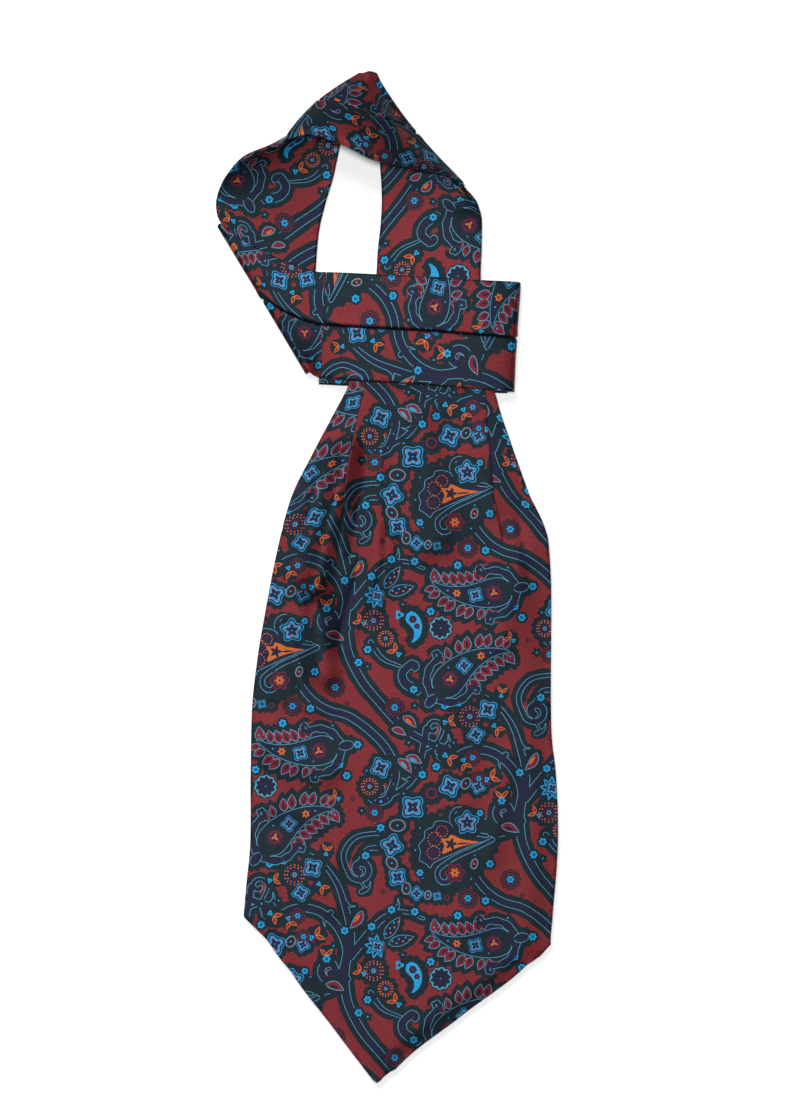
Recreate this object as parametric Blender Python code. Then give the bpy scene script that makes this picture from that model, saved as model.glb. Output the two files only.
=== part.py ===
# Silk cravat laid flat on a table, front up.
# A pointed blade of two panels narrows by two knife pleats into a neck. From there one pressed tube
# of silk, the neckband, runs up the right side, folds over at the top, comes down the left side,
# folds again, crosses the front of the neck and turns back behind it.
# Tables are in millimetres, +X to the right, +Y towards the neck loop, +Z up from the table.

import math
from collections import namedtuple

import bmesh
import bpy
from mathutils import Vector

MM = 0.001

# Driving dimensions
BAND_WALL = 2.0           # the neckband tube pressed flat
BLADE_WALL = 1.5          # front panel with its interlining
LINING_WALL = 1.0         # back panel
CLEARANCE = 0.3           # between pieces that touch
TIGHT_FOLD = 1.17         # radius of a fold of the band pressed flat on itself
SIDE_FOLD = 2.1           # radius of the fold at the band's right end, round the neck's edge
LOOP_LIFT = 24.0          # how high the loop's arched edge stands over the table
BLADE_PUFF = 1.1          # how far the front panel stands off the back panel between its edges
PLEAT_STEP = 1.3          # height of a pleat's edge over its flank
NECK_FLOOR = 2.0 + CLEARANCE   # the neck lies on the band's return

FLAT = BAND_WALL / 2      # middle of a band wall that lies on the table
ON_FLAT = FLAT + 2 * TIGHT_FOLD   # middle of a band wall folded over another one
ON_NECK = 7.4             # middle of the band's wall where it crosses the neck
RETURN_TOP = FLAT + 2 * SIDE_FOLD

EDGE_REST = 0.2           # share of the band's width over which it stays low beside edge a
LEVEL_TO = 0.32           # share of the width over which its normal leans over from upright

# How finely the solids are divided
ROWS_BETWEEN = 3          # rings between two rows of a table
BAND_COLUMNS = 7
FOLD_RINGS = 5
EDGE_ANGLES = (60.0, 0.0, -60.0)
FOLD_TIP = 0.1            # share of edge a's roundness that is left at a fold
TIP_ROWS = 3.0            # rows over which the full roundness comes back

# One row is one line across the band, from edge a to edge b. The line bows along the band by bow
# and rises in its middle by lift. Edge a is the same edge of the tube all the way: the inner edge of
# the loop, then the lower edge where the band crosses the neck.
Row = namedtuple("Row", "ax ay az bx by bz bow lift")

LOOP_RIGHT = [
    Row(-8.5, 121.5, 3.3, 49.0, 121.5, 3.3, 0.0, 0.0),
    Row(-5.5, 147.0, 3.3, 47.0, 147.5, 3.3, 0.0, 0.0),
    Row(-4.5, 163.0, 1.7, 47.5, 163.5, 1.9, 0.0, 0.5),
    Row(-3.0, 177.0, FLAT, 47.6, 178.0, 2.2, 0.0, 0.9),
    Row(-2.5, 191.0, FLAT, 46.4, 183.5, 4.0, 0.0, 0.9),
    Row(-3.5, 208.0, FLAT, 45.0, 187.0, 5.6, 0.0, 0.7),
    Row(-4.5, 228.0, FLAT, 42.3, 190.2, 6.6, 1.0, 0.4),
    Row(-6.2, 252.7, FLAT, 42.0, 195.0, 7.5, 2.5, 0.0),
]
LOOP_TOP = [
    Row(-6.2, 252.7, ON_FLAT, 42.0, 195.0, 7.5 + 2 * TIGHT_FOLD, 2.5, 0.0),
    Row(-8.2, 251.6, ON_FLAT, 29.0, 199.8, 12.5, 2.5, 0.5),
    Row(-8.5, 251.8, ON_FLAT, 12.5, 203.0, 0.80 * LOOP_LIFT, 1.0, 2.5),
    Row(-9.0, 252.0, ON_FLAT, -6.5, 207.0, LOOP_LIFT, 0.0, 3.6),
    Row(-9.8, 251.8, ON_FLAT, -22.0, 214.5, 1.07 * LOOP_LIFT, 0.5, 3.4),
    Row(-10.6, 251.2, ON_FLAT, -38.0, 219.5, 1.04 * LOOP_LIFT, 2.0, 2.0),
    Row(-12.8, 252.2, ON_FLAT, -51.0, 219.0, LOOP_LIFT, 3.8, 0.0),
]
LOOP_LEFT = [
    Row(-12.8, 252.2, FLAT, -51.0, 219.0, LOOP_LIFT - 2 * TIGHT_FOLD, 3.8, 0.0),
    Row(-13.9, 243.0, FLAT, -54.2, 214.4, LOOP_LIFT - 6.8, 1.8, 0.0),
    Row(-17.5, 234.0, FLAT, -60.5, 212.8, 15.2, 0.5, -0.5),
    Row(-22.3, 219.0, FLAT, -72.0, 208.5, 11.5, 0.0, 0.0),
    Row(-26.5, 200.0, FLAT, -79.5, 201.0, 6.5, 0.0, 1.0),
    Row(-30.5, 186.5, FLAT, -83.5, 194.0, 2.8, 0.0, 1.5),
    Row(-33.8, 172.0, FLAT, -85.2, 188.0, 1.3, 0.0, 1.0),
    Row(-35.5, 152.0, FLAT, -85.2, 183.5, FLAT, 0.0, 0.3),
    Row(-37.0, 125.0, FLAT, -84.5, 179.8, FLAT, 0.0, 0.0),
    Row(-40.0, 100.3, FLAT, -85.0, 175.3, FLAT, 0.0, 0.0),
]
BAND_TURN = [
    Row(-40.0, 100.3, ON_FLAT, -85.0, 175.3, ON_FLAT, 0.0, 0.0),
    Row(-36.3, 100.0, ON_FLAT, -71.5, 168.0, ON_FLAT, 0.0, 0.4),
    Row(-35.3, 99.8, 4.2, -54.0, 159.0, ON_FLAT, 0.0, 0.5),
    Row(-34.2, 99.5, 5.4, -36.5, 152.7, 4.4, 0.0, 0.3),
    Row(-33.0, 99.2, 5.9, -30.2, 152.0, 5.0, 0.0, 0.0),
]
BAND_FRONT = [
    Row(-33.0 + CLEARANCE, 99.2, 5.9, -30.2 + CLEARANCE, 152.0, 5.0, 0.0, 0.0),
    Row(-23.5, 98.2, 6.8, -21.0, 151.7, 6.0, 0.0, 0.2),
    Row(-11.0, 97.3, ON_NECK, -7.5, 151.0, ON_NECK - 0.2, 0.0, 0.2),
    Row(15.5, 95.8, ON_NECK + 0.6, 19.0, 149.8, ON_NECK + 0.2, 0.0, 0.3),
    Row(41.5, 93.5, ON_NECK, 47.0, 148.0, ON_NECK, 0.0, 0.2),
    Row(56.0, 92.0, 6.2, 59.0, 147.5, 6.2, 0.0, 0.0),
    Row(63.7, 91.3, RETURN_TOP, 67.5, 147.0, RETURN_TOP, 0.0, 0.0),
]
BAND_RETURN = [
    Row(63.7, 91.8, FLAT, 67.5, 147.0, FLAT, 0.0, 0.0),
    Row(16.0, 93.5, FLAT, 20.0, 147.0, FLAT, 0.0, 0.0),
    Row(-34.0, 96.0, FLAT, -32.5, 147.0, FLAT, 0.0, 0.0),
]

# The folds of the band: the radius, the side of its line that it bulges to, seen from edge a to
# edge b, where right is above zero, and how many degrees the fold stands open at edge b. At edge a
# it is closed, a half round.
Bend = namedtuple("Bend", "radius side open_at_b")
TOP_RIGHT_FOLD = Bend(TIGHT_FOLD, -1, 70.0)
TOP_LEFT_FOLD = Bend(TIGHT_FOLD, 1, 80.0)
LOWER_LEFT_FOLD = Bend(TIGHT_FOLD, -1, 0.0)
RIGHT_END_FOLD = Bend(SIDE_FOLD, 1, 0.0)

# The blade's outline, from the neck down: each side as far as its corner, then the point
Edge = namedtuple("Edge", "y x")
LEFT_SIDE = [Edge(121.0, -11.5), Edge(95.0, -19.0), Edge(76.0, -29.0), Edge(59.0, -38.0),
             Edge(42.0, -46.5), Edge(26.0, -51.5), Edge(6.0, -56.0), Edge(-15.0, -60.0),
             Edge(-38.0, -64.0), Edge(-64.0, -67.0), Edge(-100.0, -67.8), Edge(-134.0, -68.0),
             Edge(-158.5, -70.3), Edge(-170.0, -71.3)]
LEFT_POINT = [Edge(-170.0, -71.3), Edge(-181.0, -60.0), Edge(-196.0, -48.5), Edge(-223.5, -28.0),
              Edge(-252.2, -6.3)]
RIGHT_SIDE = [Edge(121.0, 50.0), Edge(95.0, 53.0), Edge(90.5, 54.5), Edge(65.0, 62.5),
              Edge(41.0, 71.0), Edge(23.0, 79.3), Edge(10.5, 81.2), Edge(-8.0, 82.0),
              Edge(-61.5, 81.8), Edge(-81.0, 82.3), Edge(-97.0, 84.2), Edge(-119.0, 85.3),
              Edge(-141.0, 85.0), Edge(-172.5, 82.5), Edge(-184.0, 81.5)]
RIGHT_POINT = [Edge(-184.0, 81.5), Edge(-193.0, 70.5), Edge(-221.0, 35.2), Edge(-246.0, 4.5),
               Edge(-252.2, -3.8)]

# Where the two knife pleats run, as shares of the blade's width, and how much of each step is left
Pleat = namedtuple("Pleat", "y left right left_step right_step")
PLEATS = [Pleat(121.0, 0.05, 0.96, 1.0, 1.0), Pleat(95.0, 0.104, 0.95, 1.0, 1.0),
          Pleat(74.0, 0.155, 0.908, 1.0, 1.0), Pleat(64.0, 0.177, 0.887, 0.9, 1.0),
          Pleat(36.0, 0.222, 0.848, 0.7, 0.8), Pleat(25.0, 0.228, 0.832, 0.5, 0.45),
          Pleat(5.0, 0.235, 0.82, 0.2, 0.0), Pleat(-12.0, 0.24, 0.81, 0.0, 0.0),
          Pleat(-260.0, 0.25, 0.78, 0.0, 0.0)]
LEFT_FLANK_COLUMNS = 6
CENTRE_COLUMNS = 12
RIGHT_FLANK_COLUMNS = 5
STEP_RUN = 0.45           # how far a pleat's step leans, across the blade

# Soft folds of the front panel: a ridge, or a trough where its height is below zero
Fold = namedtuple("Fold", "x0 y0 x1 y1 half_width height")
FOLDS = [Fold(-19.5, 62.0, -36.0, -6.0, 8.0, 1.9), Fold(-36.0, -6.0, -31.0, -48.0, 9.0, 1.5),
         Fold(-7.0, 70.0, -8.0, 8.0, 7.0, -1.1), Fold(-8.0, 8.0, -24.0, -34.0, 7.0, -0.9),
         Fold(16.0, 82.0, 24.0, 20.0, 13.0, 1.1), Fold(62.0, -10.0, 56.0, -34.0, 12.0, 1.0),
         Fold(-58.0, -66.0, -34.0, -76.0, 9.0, -0.9), Fold(-60.0, -92.0, -30.0, -98.0, 9.0, 0.9),
         Fold(-56.0, -128.0, -34.0, -132.0, 9.0, -0.7), Fold(30.0, -60.0, 40.0, -170.0, 16.0, 0.6)]
NECK_HOLLOW = Fold(11.0, 93.0, 36.0, 91.0, 7.0, -1.0)
EDGE_SOFTNESS = 14.0      # the panel lies down to the back panel over this distance
NECK_SLOPE = (92.0, 66.0)  # the neck comes down off the band's return between these
LINING_TOP = 88.0         # where the back panel ends, below the band
LINING_INSET = 0.9
LINING_PEEK = 0.5         # how far the back panel shows past the front one along the right of the point

SILK = (0.26, 0.035, 0.04, 1.0)
SILK_SHADOW = (0.14, 0.02, 0.028, 1.0)


def remove_all():
    for thing in list(bpy.data.objects):
        bpy.data.objects.remove(thing, do_unlink=True)


def silk(name, colour):
    material = bpy.data.materials.new(name)
    material.use_nodes = True
    shader = material.node_tree.nodes["Principled BSDF"]
    shader.inputs["Base Color"].default_value = colour
    shader.inputs["Roughness"].default_value = 0.5
    shader.inputs["Metallic"].default_value = 0.0
    material.diffuse_color = colour
    return material


def mix(a, b, t):
    return a + (b - a) * t


def smoothstep(low, high, value):
    t = min(1.0, max(0.0, (value - low) / (high - low)))
    return t * t * (3.0 - 2.0 * t)


def through_rows(rows, t):
    """A smooth curve through the rows: t is 0 at the first one and 1 more at each next."""
    last = len(rows) - 1
    i = min(int(t), last - 1)
    f = t - i
    before = rows[i - 1] if i > 0 else [2 * a - b for a, b in zip(rows[0], rows[1])]
    after = rows[i + 2] if i + 2 <= last else [2 * a - b for a, b in zip(rows[-1], rows[-2])]
    values = []
    for p, q, r, s in zip(before, rows[i], rows[i + 1], after):
        values.append(0.5 * (2 * q + (r - p) * f + (2 * p - 5 * q + 4 * r - s) * f * f
                             + (3 * q - p - 3 * r + s) * f ** 3))
    return type(rows[0])(*values)


def along_table(table, y):
    """The rows of a table that runs down the blade, smoothly mixed at height y."""
    for i in range(len(table) - 1):
        if y >= table[i + 1].y or i == len(table) - 2:
            t = i + (table[i].y - y) / (table[i].y - table[i + 1].y)
            return through_rows(table, min(max(t, 0.0), len(table) - 1))


def band_point(rows, t, u):
    """A point of a band wall's middle surface: t along the rows, u across from edge a to edge b."""
    row = through_rows(rows, t)
    a = Vector((row.ax, row.ay, row.az))
    b = Vector((row.bx, row.by, row.bz))
    across = (b - a).normalized()
    trim = FLAT * across
    a = a + trim
    b = b - trim
    along = Vector((across.y, -across.x, 0.0)).normalized()
    point = a + (b - a) * u + along * row.bow * 4.0 * u * (1.0 - u)
    rise = u * u * (1.0 + EDGE_REST) / (u + EDGE_REST)
    point.z = a.z + (b.z - a.z) * rise + row.lift * 4.0 * rise * (1.0 - rise)
    return point


def wall_normal(rows, t, u):
    """The direction across, and the normal: across times along."""
    step = 0.02
    across = (band_point(rows, t, min(u + step, 1.0)) - band_point(rows, t, max(u - step, 0.0))).normalized()
    along = band_point(rows, min(t + step, len(rows) - 1), u) - band_point(rows, max(t - step, 0.0), u)
    return across, across.cross(along).normalized()


def band_frame(rows, t, u):
    """The point with the direction across and the normal of the side that faces up in mid-band. The
    band lies level along edge a, where the rows may meet in a point."""
    _, middle = wall_normal(rows, t, 0.5)
    across, normal = wall_normal(rows, t, max(u, LEVEL_TO))
    if normal.dot(middle) * middle.z < 0.0:
        normal = -normal
    if u < LEVEL_TO:
        across = wall_normal(rows, t, u)[0]
        normal = Vector((0.0, 0.0, 1.0)).lerp(normal, u / LEVEL_TO)
        normal = (normal - across * normal.dot(across)).normalized()
    return band_point(rows, t, u), across, normal


def ring(frames, tip=1.0):
    """A closed section round the wall: the upper side, the rounded edge b, the underside, edge a.
    Edge a's roundness is drawn in by tip where the rows crowd together at a fold."""
    half = BAND_WALL / 2
    upper = [point + normal * half for point, across, normal in frames]
    under = [point - normal * half for point, across, normal in reversed(frames)]
    round_b = []
    round_a = []
    for angle in EDGE_ANGLES:
        turn = math.radians(angle)
        point, across, normal = frames[-1]
        round_b.append(point + (across * math.cos(turn) + normal * math.sin(turn)) * half)
        point, across, normal = frames[0]
        round_a.append(point + (-across * math.cos(turn) * tip - normal * math.sin(turn)) * half)
    return upper + round_b + under + round_a


def close_end(shape, loop, columns):
    """Closes a section's end with a strip from the upper side to the underside, so that it follows
    the bow of the end."""
    under_a = 2 * columns + len(EDGE_ANGLES) - 1
    for i in range(columns - 1):
        shape.faces.new((loop[i], loop[i + 1], loop[under_a - i - 1], loop[under_a - i]))
    shape.faces.new(loop[columns - 1:under_a - columns + 2])
    shape.faces.new(loop[under_a:] + loop[:1])


def skin(name, rings, material, columns=BAND_COLUMNS):
    """A closed body through rings of equal length."""
    shape = bmesh.new()
    loops = [[shape.verts.new(point * MM) for point in points] for points in rings]
    count = len(loops[0])
    for near, far in zip(loops, loops[1:]):
        for i in range(count):
            j = (i + 1) % count
            shape.faces.new((near[i], near[j], far[j], far[i]))
    for loop in (loops[0], loops[-1]):
        if columns:
            close_end(shape, loop, columns)
        else:
            shape.faces.new(loop)
    bmesh.ops.recalc_face_normals(shape, faces=shape.faces)
    bmesh.ops.triangulate(shape, faces=shape.faces, quad_method="SHORT_EDGE", ngon_method="EAR_CLIP")
    mesh = bpy.data.meshes.new(name)
    shape.to_mesh(mesh)
    shape.free()
    mesh.shade_smooth()
    mesh.set_sharp_from_angle(angle=math.radians(50))
    mesh.materials.append(material)
    piece = bpy.data.objects.new(name, mesh)
    bpy.context.scene.collection.objects.link(piece)
    return piece


def to_the_right(across):
    """Level, square to the line across the band, on its right-hand side."""
    return Vector((across.y, -across.x, 0.0)).normalized()


def trimmed(rows, start=None, end=None):
    """The rows with the end lines drawn in, so that the half rounds reach just to the table's lines."""
    rows = list(rows)
    for index, bend in ((0, start), (-1, end)):
        if bend:
            row = rows[index]
            step = to_the_right(Vector((row.bx - row.ax, row.by - row.ay, 0.0)))
            step *= -bend.side * (bend.radius + FLAT)
            rows[index] = row._replace(ax=row.ax + step.x, ay=row.ay + step.y,
                                       bx=row.bx + step.x, by=row.by + step.y)
    return rows


def outward_at(across, normal, bend):
    outward = across.cross(normal).normalized()
    if outward.dot(to_the_right(across)) * bend.side < 0.0:
        outward = -outward
    return outward


def round_bend(frame, bend, u, share):
    """A point at a share of the way round a fold: the wall's middle, its outer normal and its run."""
    point, across, normal = frame
    outward = outward_at(across, normal, bend)
    turn = share * math.radians(180.0 - bend.open_at_b * u)
    spoke = normal * math.cos(turn) + outward * math.sin(turn)
    run = outward * math.cos(turn) - normal * math.sin(turn)
    return point + (spoke - normal) * bend.radius, spoke, run


def stretch(name, rows, material, folds=(), seats=()):
    """One stretch of the band. A fold is (end, bend): this stretch goes on round the bend. A seat is
    (end, rows, end, bend): here another stretch's fold comes down, and this one meets it."""
    last = len(rows) - 1
    steps = last * ROWS_BETWEEN
    shares = [i / (BAND_COLUMNS - 1) for i in range(BAND_COLUMNS)]
    rings = []
    for k in range(steps + 1):
        t = last * k / steps
        frames = []
        for u in shares:
            point, across, normal = band_frame(rows, t, u)
            for own_end, over_rows, over_end, bend in seats:
                share = smoothstep(1.0, 0.0, abs(t - own_end))
                end_point, spoke, run = round_bend(band_frame(over_rows, over_end, u), bend, u, 1.0)
                target = end_point + run * CLEARANCE
                point += (target - band_point(rows, own_end, u)) * share
                normal = normal.lerp(-spoke, share).normalized()
            frames.append((point, across, normal))
        from_fold = min([abs(t - end) for end, _ in folds] + [TIP_ROWS])
        rings.append(ring(frames, mix(FOLD_TIP, 1.0, from_fold / TIP_ROWS)))
    for end, bend in folds:
        half_round = []
        base = [band_frame(rows, end, u) for u in shares]
        for k in range(1, FOLD_RINGS + 1):
            frames = []
            for u, frame in zip(shares, base):
                point, spoke, run = round_bend(frame, bend, u, k / FOLD_RINGS)
                frames.append((point, frame[1], spoke))
            half_round.append(ring(frames, FOLD_TIP))
        rings = list(reversed(half_round)) + rings if end == 0 else rings + half_round
    return skin(name, rings, material)


def side_x(side, point, y):
    corner = side[-1].y
    return along_table(side if y >= corner else point, y).x


def fold_height(fold, x, y):
    """A soft hump round the line of a fold, dying out at its ends."""
    start = Vector((fold.x0, fold.y0))
    run = Vector((fold.x1, fold.y1)) - start
    here = Vector((x, y)) - start
    share = min(1.0, max(0.0, here.dot(run) / run.length_squared))
    away = (here - run * share).length / fold.half_width
    return fold.height * math.exp(-1.6 * away * away)


def blade_floor(y):
    """Underside of the front panel: on the back panel, and higher where the neck crosses the band."""
    return mix(LINING_WALL + CLEARANCE, NECK_FLOOR, smoothstep(NECK_SLOPE[1], NECK_SLOPE[0], y))


def relief(x, y, left, right):
    """How far the front panel stands off what it lies on."""
    edge = min(x - left, right - x, (y + 252.0) * 0.75)
    soft = smoothstep(0.0, EDGE_SOFTNESS, edge)
    height = BLADE_PUFF * (1.0 - smoothstep(50.0, 85.0, y))
    for fold in FOLDS:
        height += fold_height(fold, x, y)
    return max(0.0, height) * soft


def blade_section(y):
    """The front panel at height y: upper points from left to right, each with its underside."""
    left = side_x(LEFT_SIDE, LEFT_POINT, y)
    right = side_x(RIGHT_SIDE, RIGHT_POINT, y)
    pleat = along_table(PLEATS, y)
    width = right - left
    left_pleat = left + width * pleat.left
    right_pleat = left + width * pleat.right
    run = min(STEP_RUN, 0.02 * width)
    columns = []
    for i in range(LEFT_FLANK_COLUMNS):
        columns.append((mix(left, left_pleat - run, i / (LEFT_FLANK_COLUMNS - 1)), 0.0))
    for i in range(CENTRE_COLUMNS):
        share = i / (CENTRE_COLUMNS - 1)
        step = PLEAT_STEP * mix(pleat.left_step, pleat.right_step, share)
        columns.append((mix(left_pleat, right_pleat, share), step))
    for i in range(RIGHT_FLANK_COLUMNS):
        columns.append((mix(right_pleat + run, right, i / (RIGHT_FLANK_COLUMNS - 1)), 0.0))
    floor = blade_floor(y)
    upper = []
    under = []
    for x, step in columns:
        stand = relief(x, y, left, right)
        hollow = fold_height(NECK_HOLLOW, x, y) if step > 0.0 else 0.0
        low = floor + stand
        upper.append(Vector((x, y, low + BLADE_WALL + step + hollow)))
        under.append(Vector((x, y, low)))
    return upper, under


def blade_heights():
    """Heights of the blade's sections: every row of the outline, with finer steps between."""
    marks = sorted({edge.y for table in (LEFT_SIDE, LEFT_POINT, RIGHT_SIDE, RIGHT_POINT) for edge in table},
                   reverse=True)
    heights = []
    for high, low in zip(marks, marks[1:]):
        if high - low < 3.0:
            continue
        pieces = max(1, round((high - low) / 11.0))
        heights += [mix(high, low, k / pieces) for k in range(pieces)]
    return heights + [marks[-1]]


def blade_front(material):
    rings = []
    for y in blade_heights():
        upper, under = blade_section(y)
        bulge = BLADE_WALL * 0.25
        right_edge = (upper[-1] + under[-1]) / 2 + Vector((bulge, 0.0, 0.0))
        left_edge = (upper[0] + under[0]) / 2 - Vector((bulge, 0.0, 0.0))
        rings.append(upper + [right_edge] + list(reversed(under)) + [left_edge])
    return skin("blade_front", rings, material, columns=0)


def blade_back(material):
    rings = []
    for y in [LINING_TOP] + [y for y in blade_heights() if y < LINING_TOP - 3.0]:
        left = side_x(LEFT_SIDE, LEFT_POINT, y) + LINING_INSET
        peek = smoothstep(RIGHT_SIDE[-1].y + 12.0, RIGHT_SIDE[-1].y, y)
        right = side_x(RIGHT_SIDE, RIGHT_POINT, y) + mix(-LINING_INSET, LINING_PEEK, peek)
        right = max(right, left + 0.8)
        corners = [(left, LINING_WALL), (right, LINING_WALL), (right, 0.0), (left, 0.0)]
        rings.append([Vector((x, y, z)) for x, z in corners])
    return skin("blade_back", rings, material, columns=0)


def settle(pieces):
    """Moves every mesh so that the origin is under the middle of the whole, on the table."""
    corners = [vertex.co for piece in pieces for vertex in piece.data.vertices]
    low = Vector([min(c[i] for c in corners) for i in range(3)])
    high = Vector([max(c[i] for c in corners) for i in range(3)])
    shift = Vector(((low.x + high.x) / 2, (low.y + high.y) / 2, low.z))
    for piece in pieces:
        for vertex in piece.data.vertices:
            vertex.co -= shift
    print("size in mm", [round(v / MM, 2) for v in high - low], "shift", [round(v / MM, 3) for v in shift])


def build():
    remove_all()
    plain_face = silk("silk_plain_face", SILK)
    seam_face = silk("silk_seam_face", SILK)
    lining = silk("silk_lining", SILK_SHADOW)

    loop_right = trimmed(LOOP_RIGHT, end=TOP_RIGHT_FOLD)
    loop_top = trimmed(LOOP_TOP, start=TOP_RIGHT_FOLD, end=TOP_LEFT_FOLD)
    loop_left = trimmed(LOOP_LEFT, start=TOP_LEFT_FOLD, end=LOWER_LEFT_FOLD)
    band_turn = trimmed(BAND_TURN, start=LOWER_LEFT_FOLD)
    band_front = trimmed(BAND_FRONT, end=RIGHT_END_FOLD)
    band_return = trimmed(BAND_RETURN, start=RIGHT_END_FOLD)
    right_end = len(loop_right) - 1
    top_end = len(loop_top) - 1
    left_end = len(loop_left) - 1
    front_end = len(band_front) - 1

    pieces = [
        blade_front(plain_face),
        blade_back(lining),
        stretch("loop_right", loop_right, plain_face,
                seats=[(right_end, loop_top, 0, TOP_RIGHT_FOLD)]),
        stretch("loop_top", loop_top, seam_face, folds=[(0, TOP_RIGHT_FOLD), (top_end, TOP_LEFT_FOLD)]),
        stretch("loop_left", loop_left, plain_face,
                seats=[(0, loop_top, top_end, TOP_LEFT_FOLD), (left_end, band_turn, 0, LOWER_LEFT_FOLD)]),
        stretch("band_turn", band_turn, seam_face, folds=[(0, LOWER_LEFT_FOLD)]),
        stretch("band_front", band_front, seam_face, folds=[(front_end, RIGHT_END_FOLD)]),
        stretch("band_return", band_return, plain_face,
                seats=[(0, band_front, front_end, RIGHT_END_FOLD)]),
    ]
    settle(pieces)


build()
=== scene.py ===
# Silk paisley cravat laid flat: pleated blade, folded neckband, and its own vector-drawn print.
# Tables and print are in millimetres, meshes in metres.
import math

import bmesh
import bpy
import numpy as np
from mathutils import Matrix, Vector
from mathutils.geometry import delaunay_2d_cdt


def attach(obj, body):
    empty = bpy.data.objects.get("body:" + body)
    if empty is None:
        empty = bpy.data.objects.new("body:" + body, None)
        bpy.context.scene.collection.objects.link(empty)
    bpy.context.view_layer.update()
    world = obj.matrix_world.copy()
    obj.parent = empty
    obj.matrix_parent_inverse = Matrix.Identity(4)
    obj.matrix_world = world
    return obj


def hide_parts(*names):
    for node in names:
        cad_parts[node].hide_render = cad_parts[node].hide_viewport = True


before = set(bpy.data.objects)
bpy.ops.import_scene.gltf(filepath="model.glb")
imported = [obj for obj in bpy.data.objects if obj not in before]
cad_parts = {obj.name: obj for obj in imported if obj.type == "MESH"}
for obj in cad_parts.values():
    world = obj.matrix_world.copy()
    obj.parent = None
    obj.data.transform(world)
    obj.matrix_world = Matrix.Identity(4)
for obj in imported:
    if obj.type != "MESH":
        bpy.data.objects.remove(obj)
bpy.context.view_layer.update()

mm = 0.001

# Cloth sizes, the same as the solids'
wall = dict(band=2.0, blade=1.5, lining=1.0, gap=0.3, tightFold=1.17, sideFold=2.1)
flat = wall["band"] / 2
onFlat = flat + 2 * wall["tightFold"]
onNeck = 7.4
lift = 24.0
settled = np.array([0.166, -0.056, -0.022])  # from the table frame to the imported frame
edgeRest, levelTo = 0.2, 0.32
foldTip, tipRows = 0.1, 3.0  # edge a is drawn in at a fold
stripWidth = 52.5  # the tube pressed flat
underTop = lift - 2 * wall["tightFold"]
returnTop = flat + 2 * wall["sideFold"]

# One row is a line across the band: edge a, edge b, bow along the band, lift in the middle
loopRight = [
    (-8.5, 121.5, 3.3, 49.0, 121.5, 3.3, 0.0, 0.0), (-5.5, 147.0, 3.3, 47.0, 147.5, 3.3, 0.0, 0.0),
    (-4.5, 163.0, 1.7, 47.5, 163.5, 1.9, 0.0, 0.5), (-3.0, 177.0, flat, 47.6, 178.0, 2.2, 0.0, 0.9),
    (-2.5, 191.0, flat, 46.4, 183.5, 4.0, 0.0, 0.9), (-3.5, 208.0, flat, 45.0, 187.0, 5.6, 0.0, 0.7),
    (-4.5, 228.0, flat, 42.3, 190.2, 6.6, 1.0, 0.4), (-6.2, 252.7, flat, 42.0, 195.0, 7.5, 2.5, 0.0)]
loopTop = [
    (-6.2, 252.7, onFlat, 42.0, 195.0, 7.5 + 2 * wall["tightFold"], 2.5, 0.0),
    (-8.2, 251.6, onFlat, 29.0, 199.8, 12.5, 2.5, 0.5),
    (-8.5, 251.8, onFlat, 12.5, 203.0, 0.80 * lift, 1.0, 2.5),
    (-9.0, 252.0, onFlat, -6.5, 207.0, lift, 0.0, 3.6),
    (-9.8, 251.8, onFlat, -22.0, 214.5, 1.07 * lift, 0.5, 3.4),
    (-10.6, 251.2, onFlat, -38.0, 219.5, 1.04 * lift, 2.0, 2.0),
    (-12.8, 252.2, onFlat, -51.0, 219.0, lift, 3.8, 0.0)]
loopLeft = [
    (-12.8, 252.2, flat, -51.0, 219.0, underTop, 3.8, 0.0),
    (-13.9, 243.0, flat, -54.2, 214.4, lift - 6.8, 1.8, 0.0),
    (-17.5, 234.0, flat, -60.5, 212.8, 15.2, 0.5, -0.5), (-22.3, 219.0, flat, -72.0, 208.5, 11.5, 0.0, 0.0),
    (-26.5, 200.0, flat, -79.5, 201.0, 6.5, 0.0, 1.0), (-30.5, 186.5, flat, -83.5, 194.0, 2.8, 0.0, 1.5),
    (-33.8, 172.0, flat, -85.2, 188.0, 1.3, 0.0, 1.0), (-35.5, 152.0, flat, -85.2, 183.5, flat, 0.0, 0.3),
    (-37.0, 125.0, flat, -84.5, 179.8, flat, 0.0, 0.0), (-40.0, 100.3, flat, -85.0, 175.3, flat, 0.0, 0.0)]
bandTurn = [
    (-40.0, 100.3, onFlat, -85.0, 175.3, onFlat, 0.0, 0.0),
    (-36.3, 100.0, onFlat, -71.5, 168.0, onFlat, 0.0, 0.4),
    (-35.3, 99.8, 4.2, -54.0, 159.0, onFlat, 0.0, 0.5), (-34.2, 99.5, 5.4, -36.5, 152.7, 4.4, 0.0, 0.3),
    (-33.0, 99.2, 5.9, -30.2, 152.0, 5.0, 0.0, 0.0)]
bandFront = [
    (-32.7, 99.2, 5.9, -29.9, 152.0, 5.0, 0.0, 0.0), (-23.5, 98.2, 6.8, -21.0, 151.7, 6.0, 0.0, 0.2),
    (-11.0, 97.3, onNeck, -7.5, 151.0, onNeck - 0.2, 0.0, 0.2),
    (15.5, 95.8, onNeck + 0.6, 19.0, 149.8, onNeck + 0.2, 0.0, 0.3),
    (41.5, 93.5, onNeck, 47.0, 148.0, onNeck, 0.0, 0.2), (56.0, 92.0, 6.2, 59.0, 147.5, 6.2, 0.0, 0.0),
    (63.7, 91.3, returnTop, 67.5, 147.0, returnTop, 0.0, 0.0)]
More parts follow.
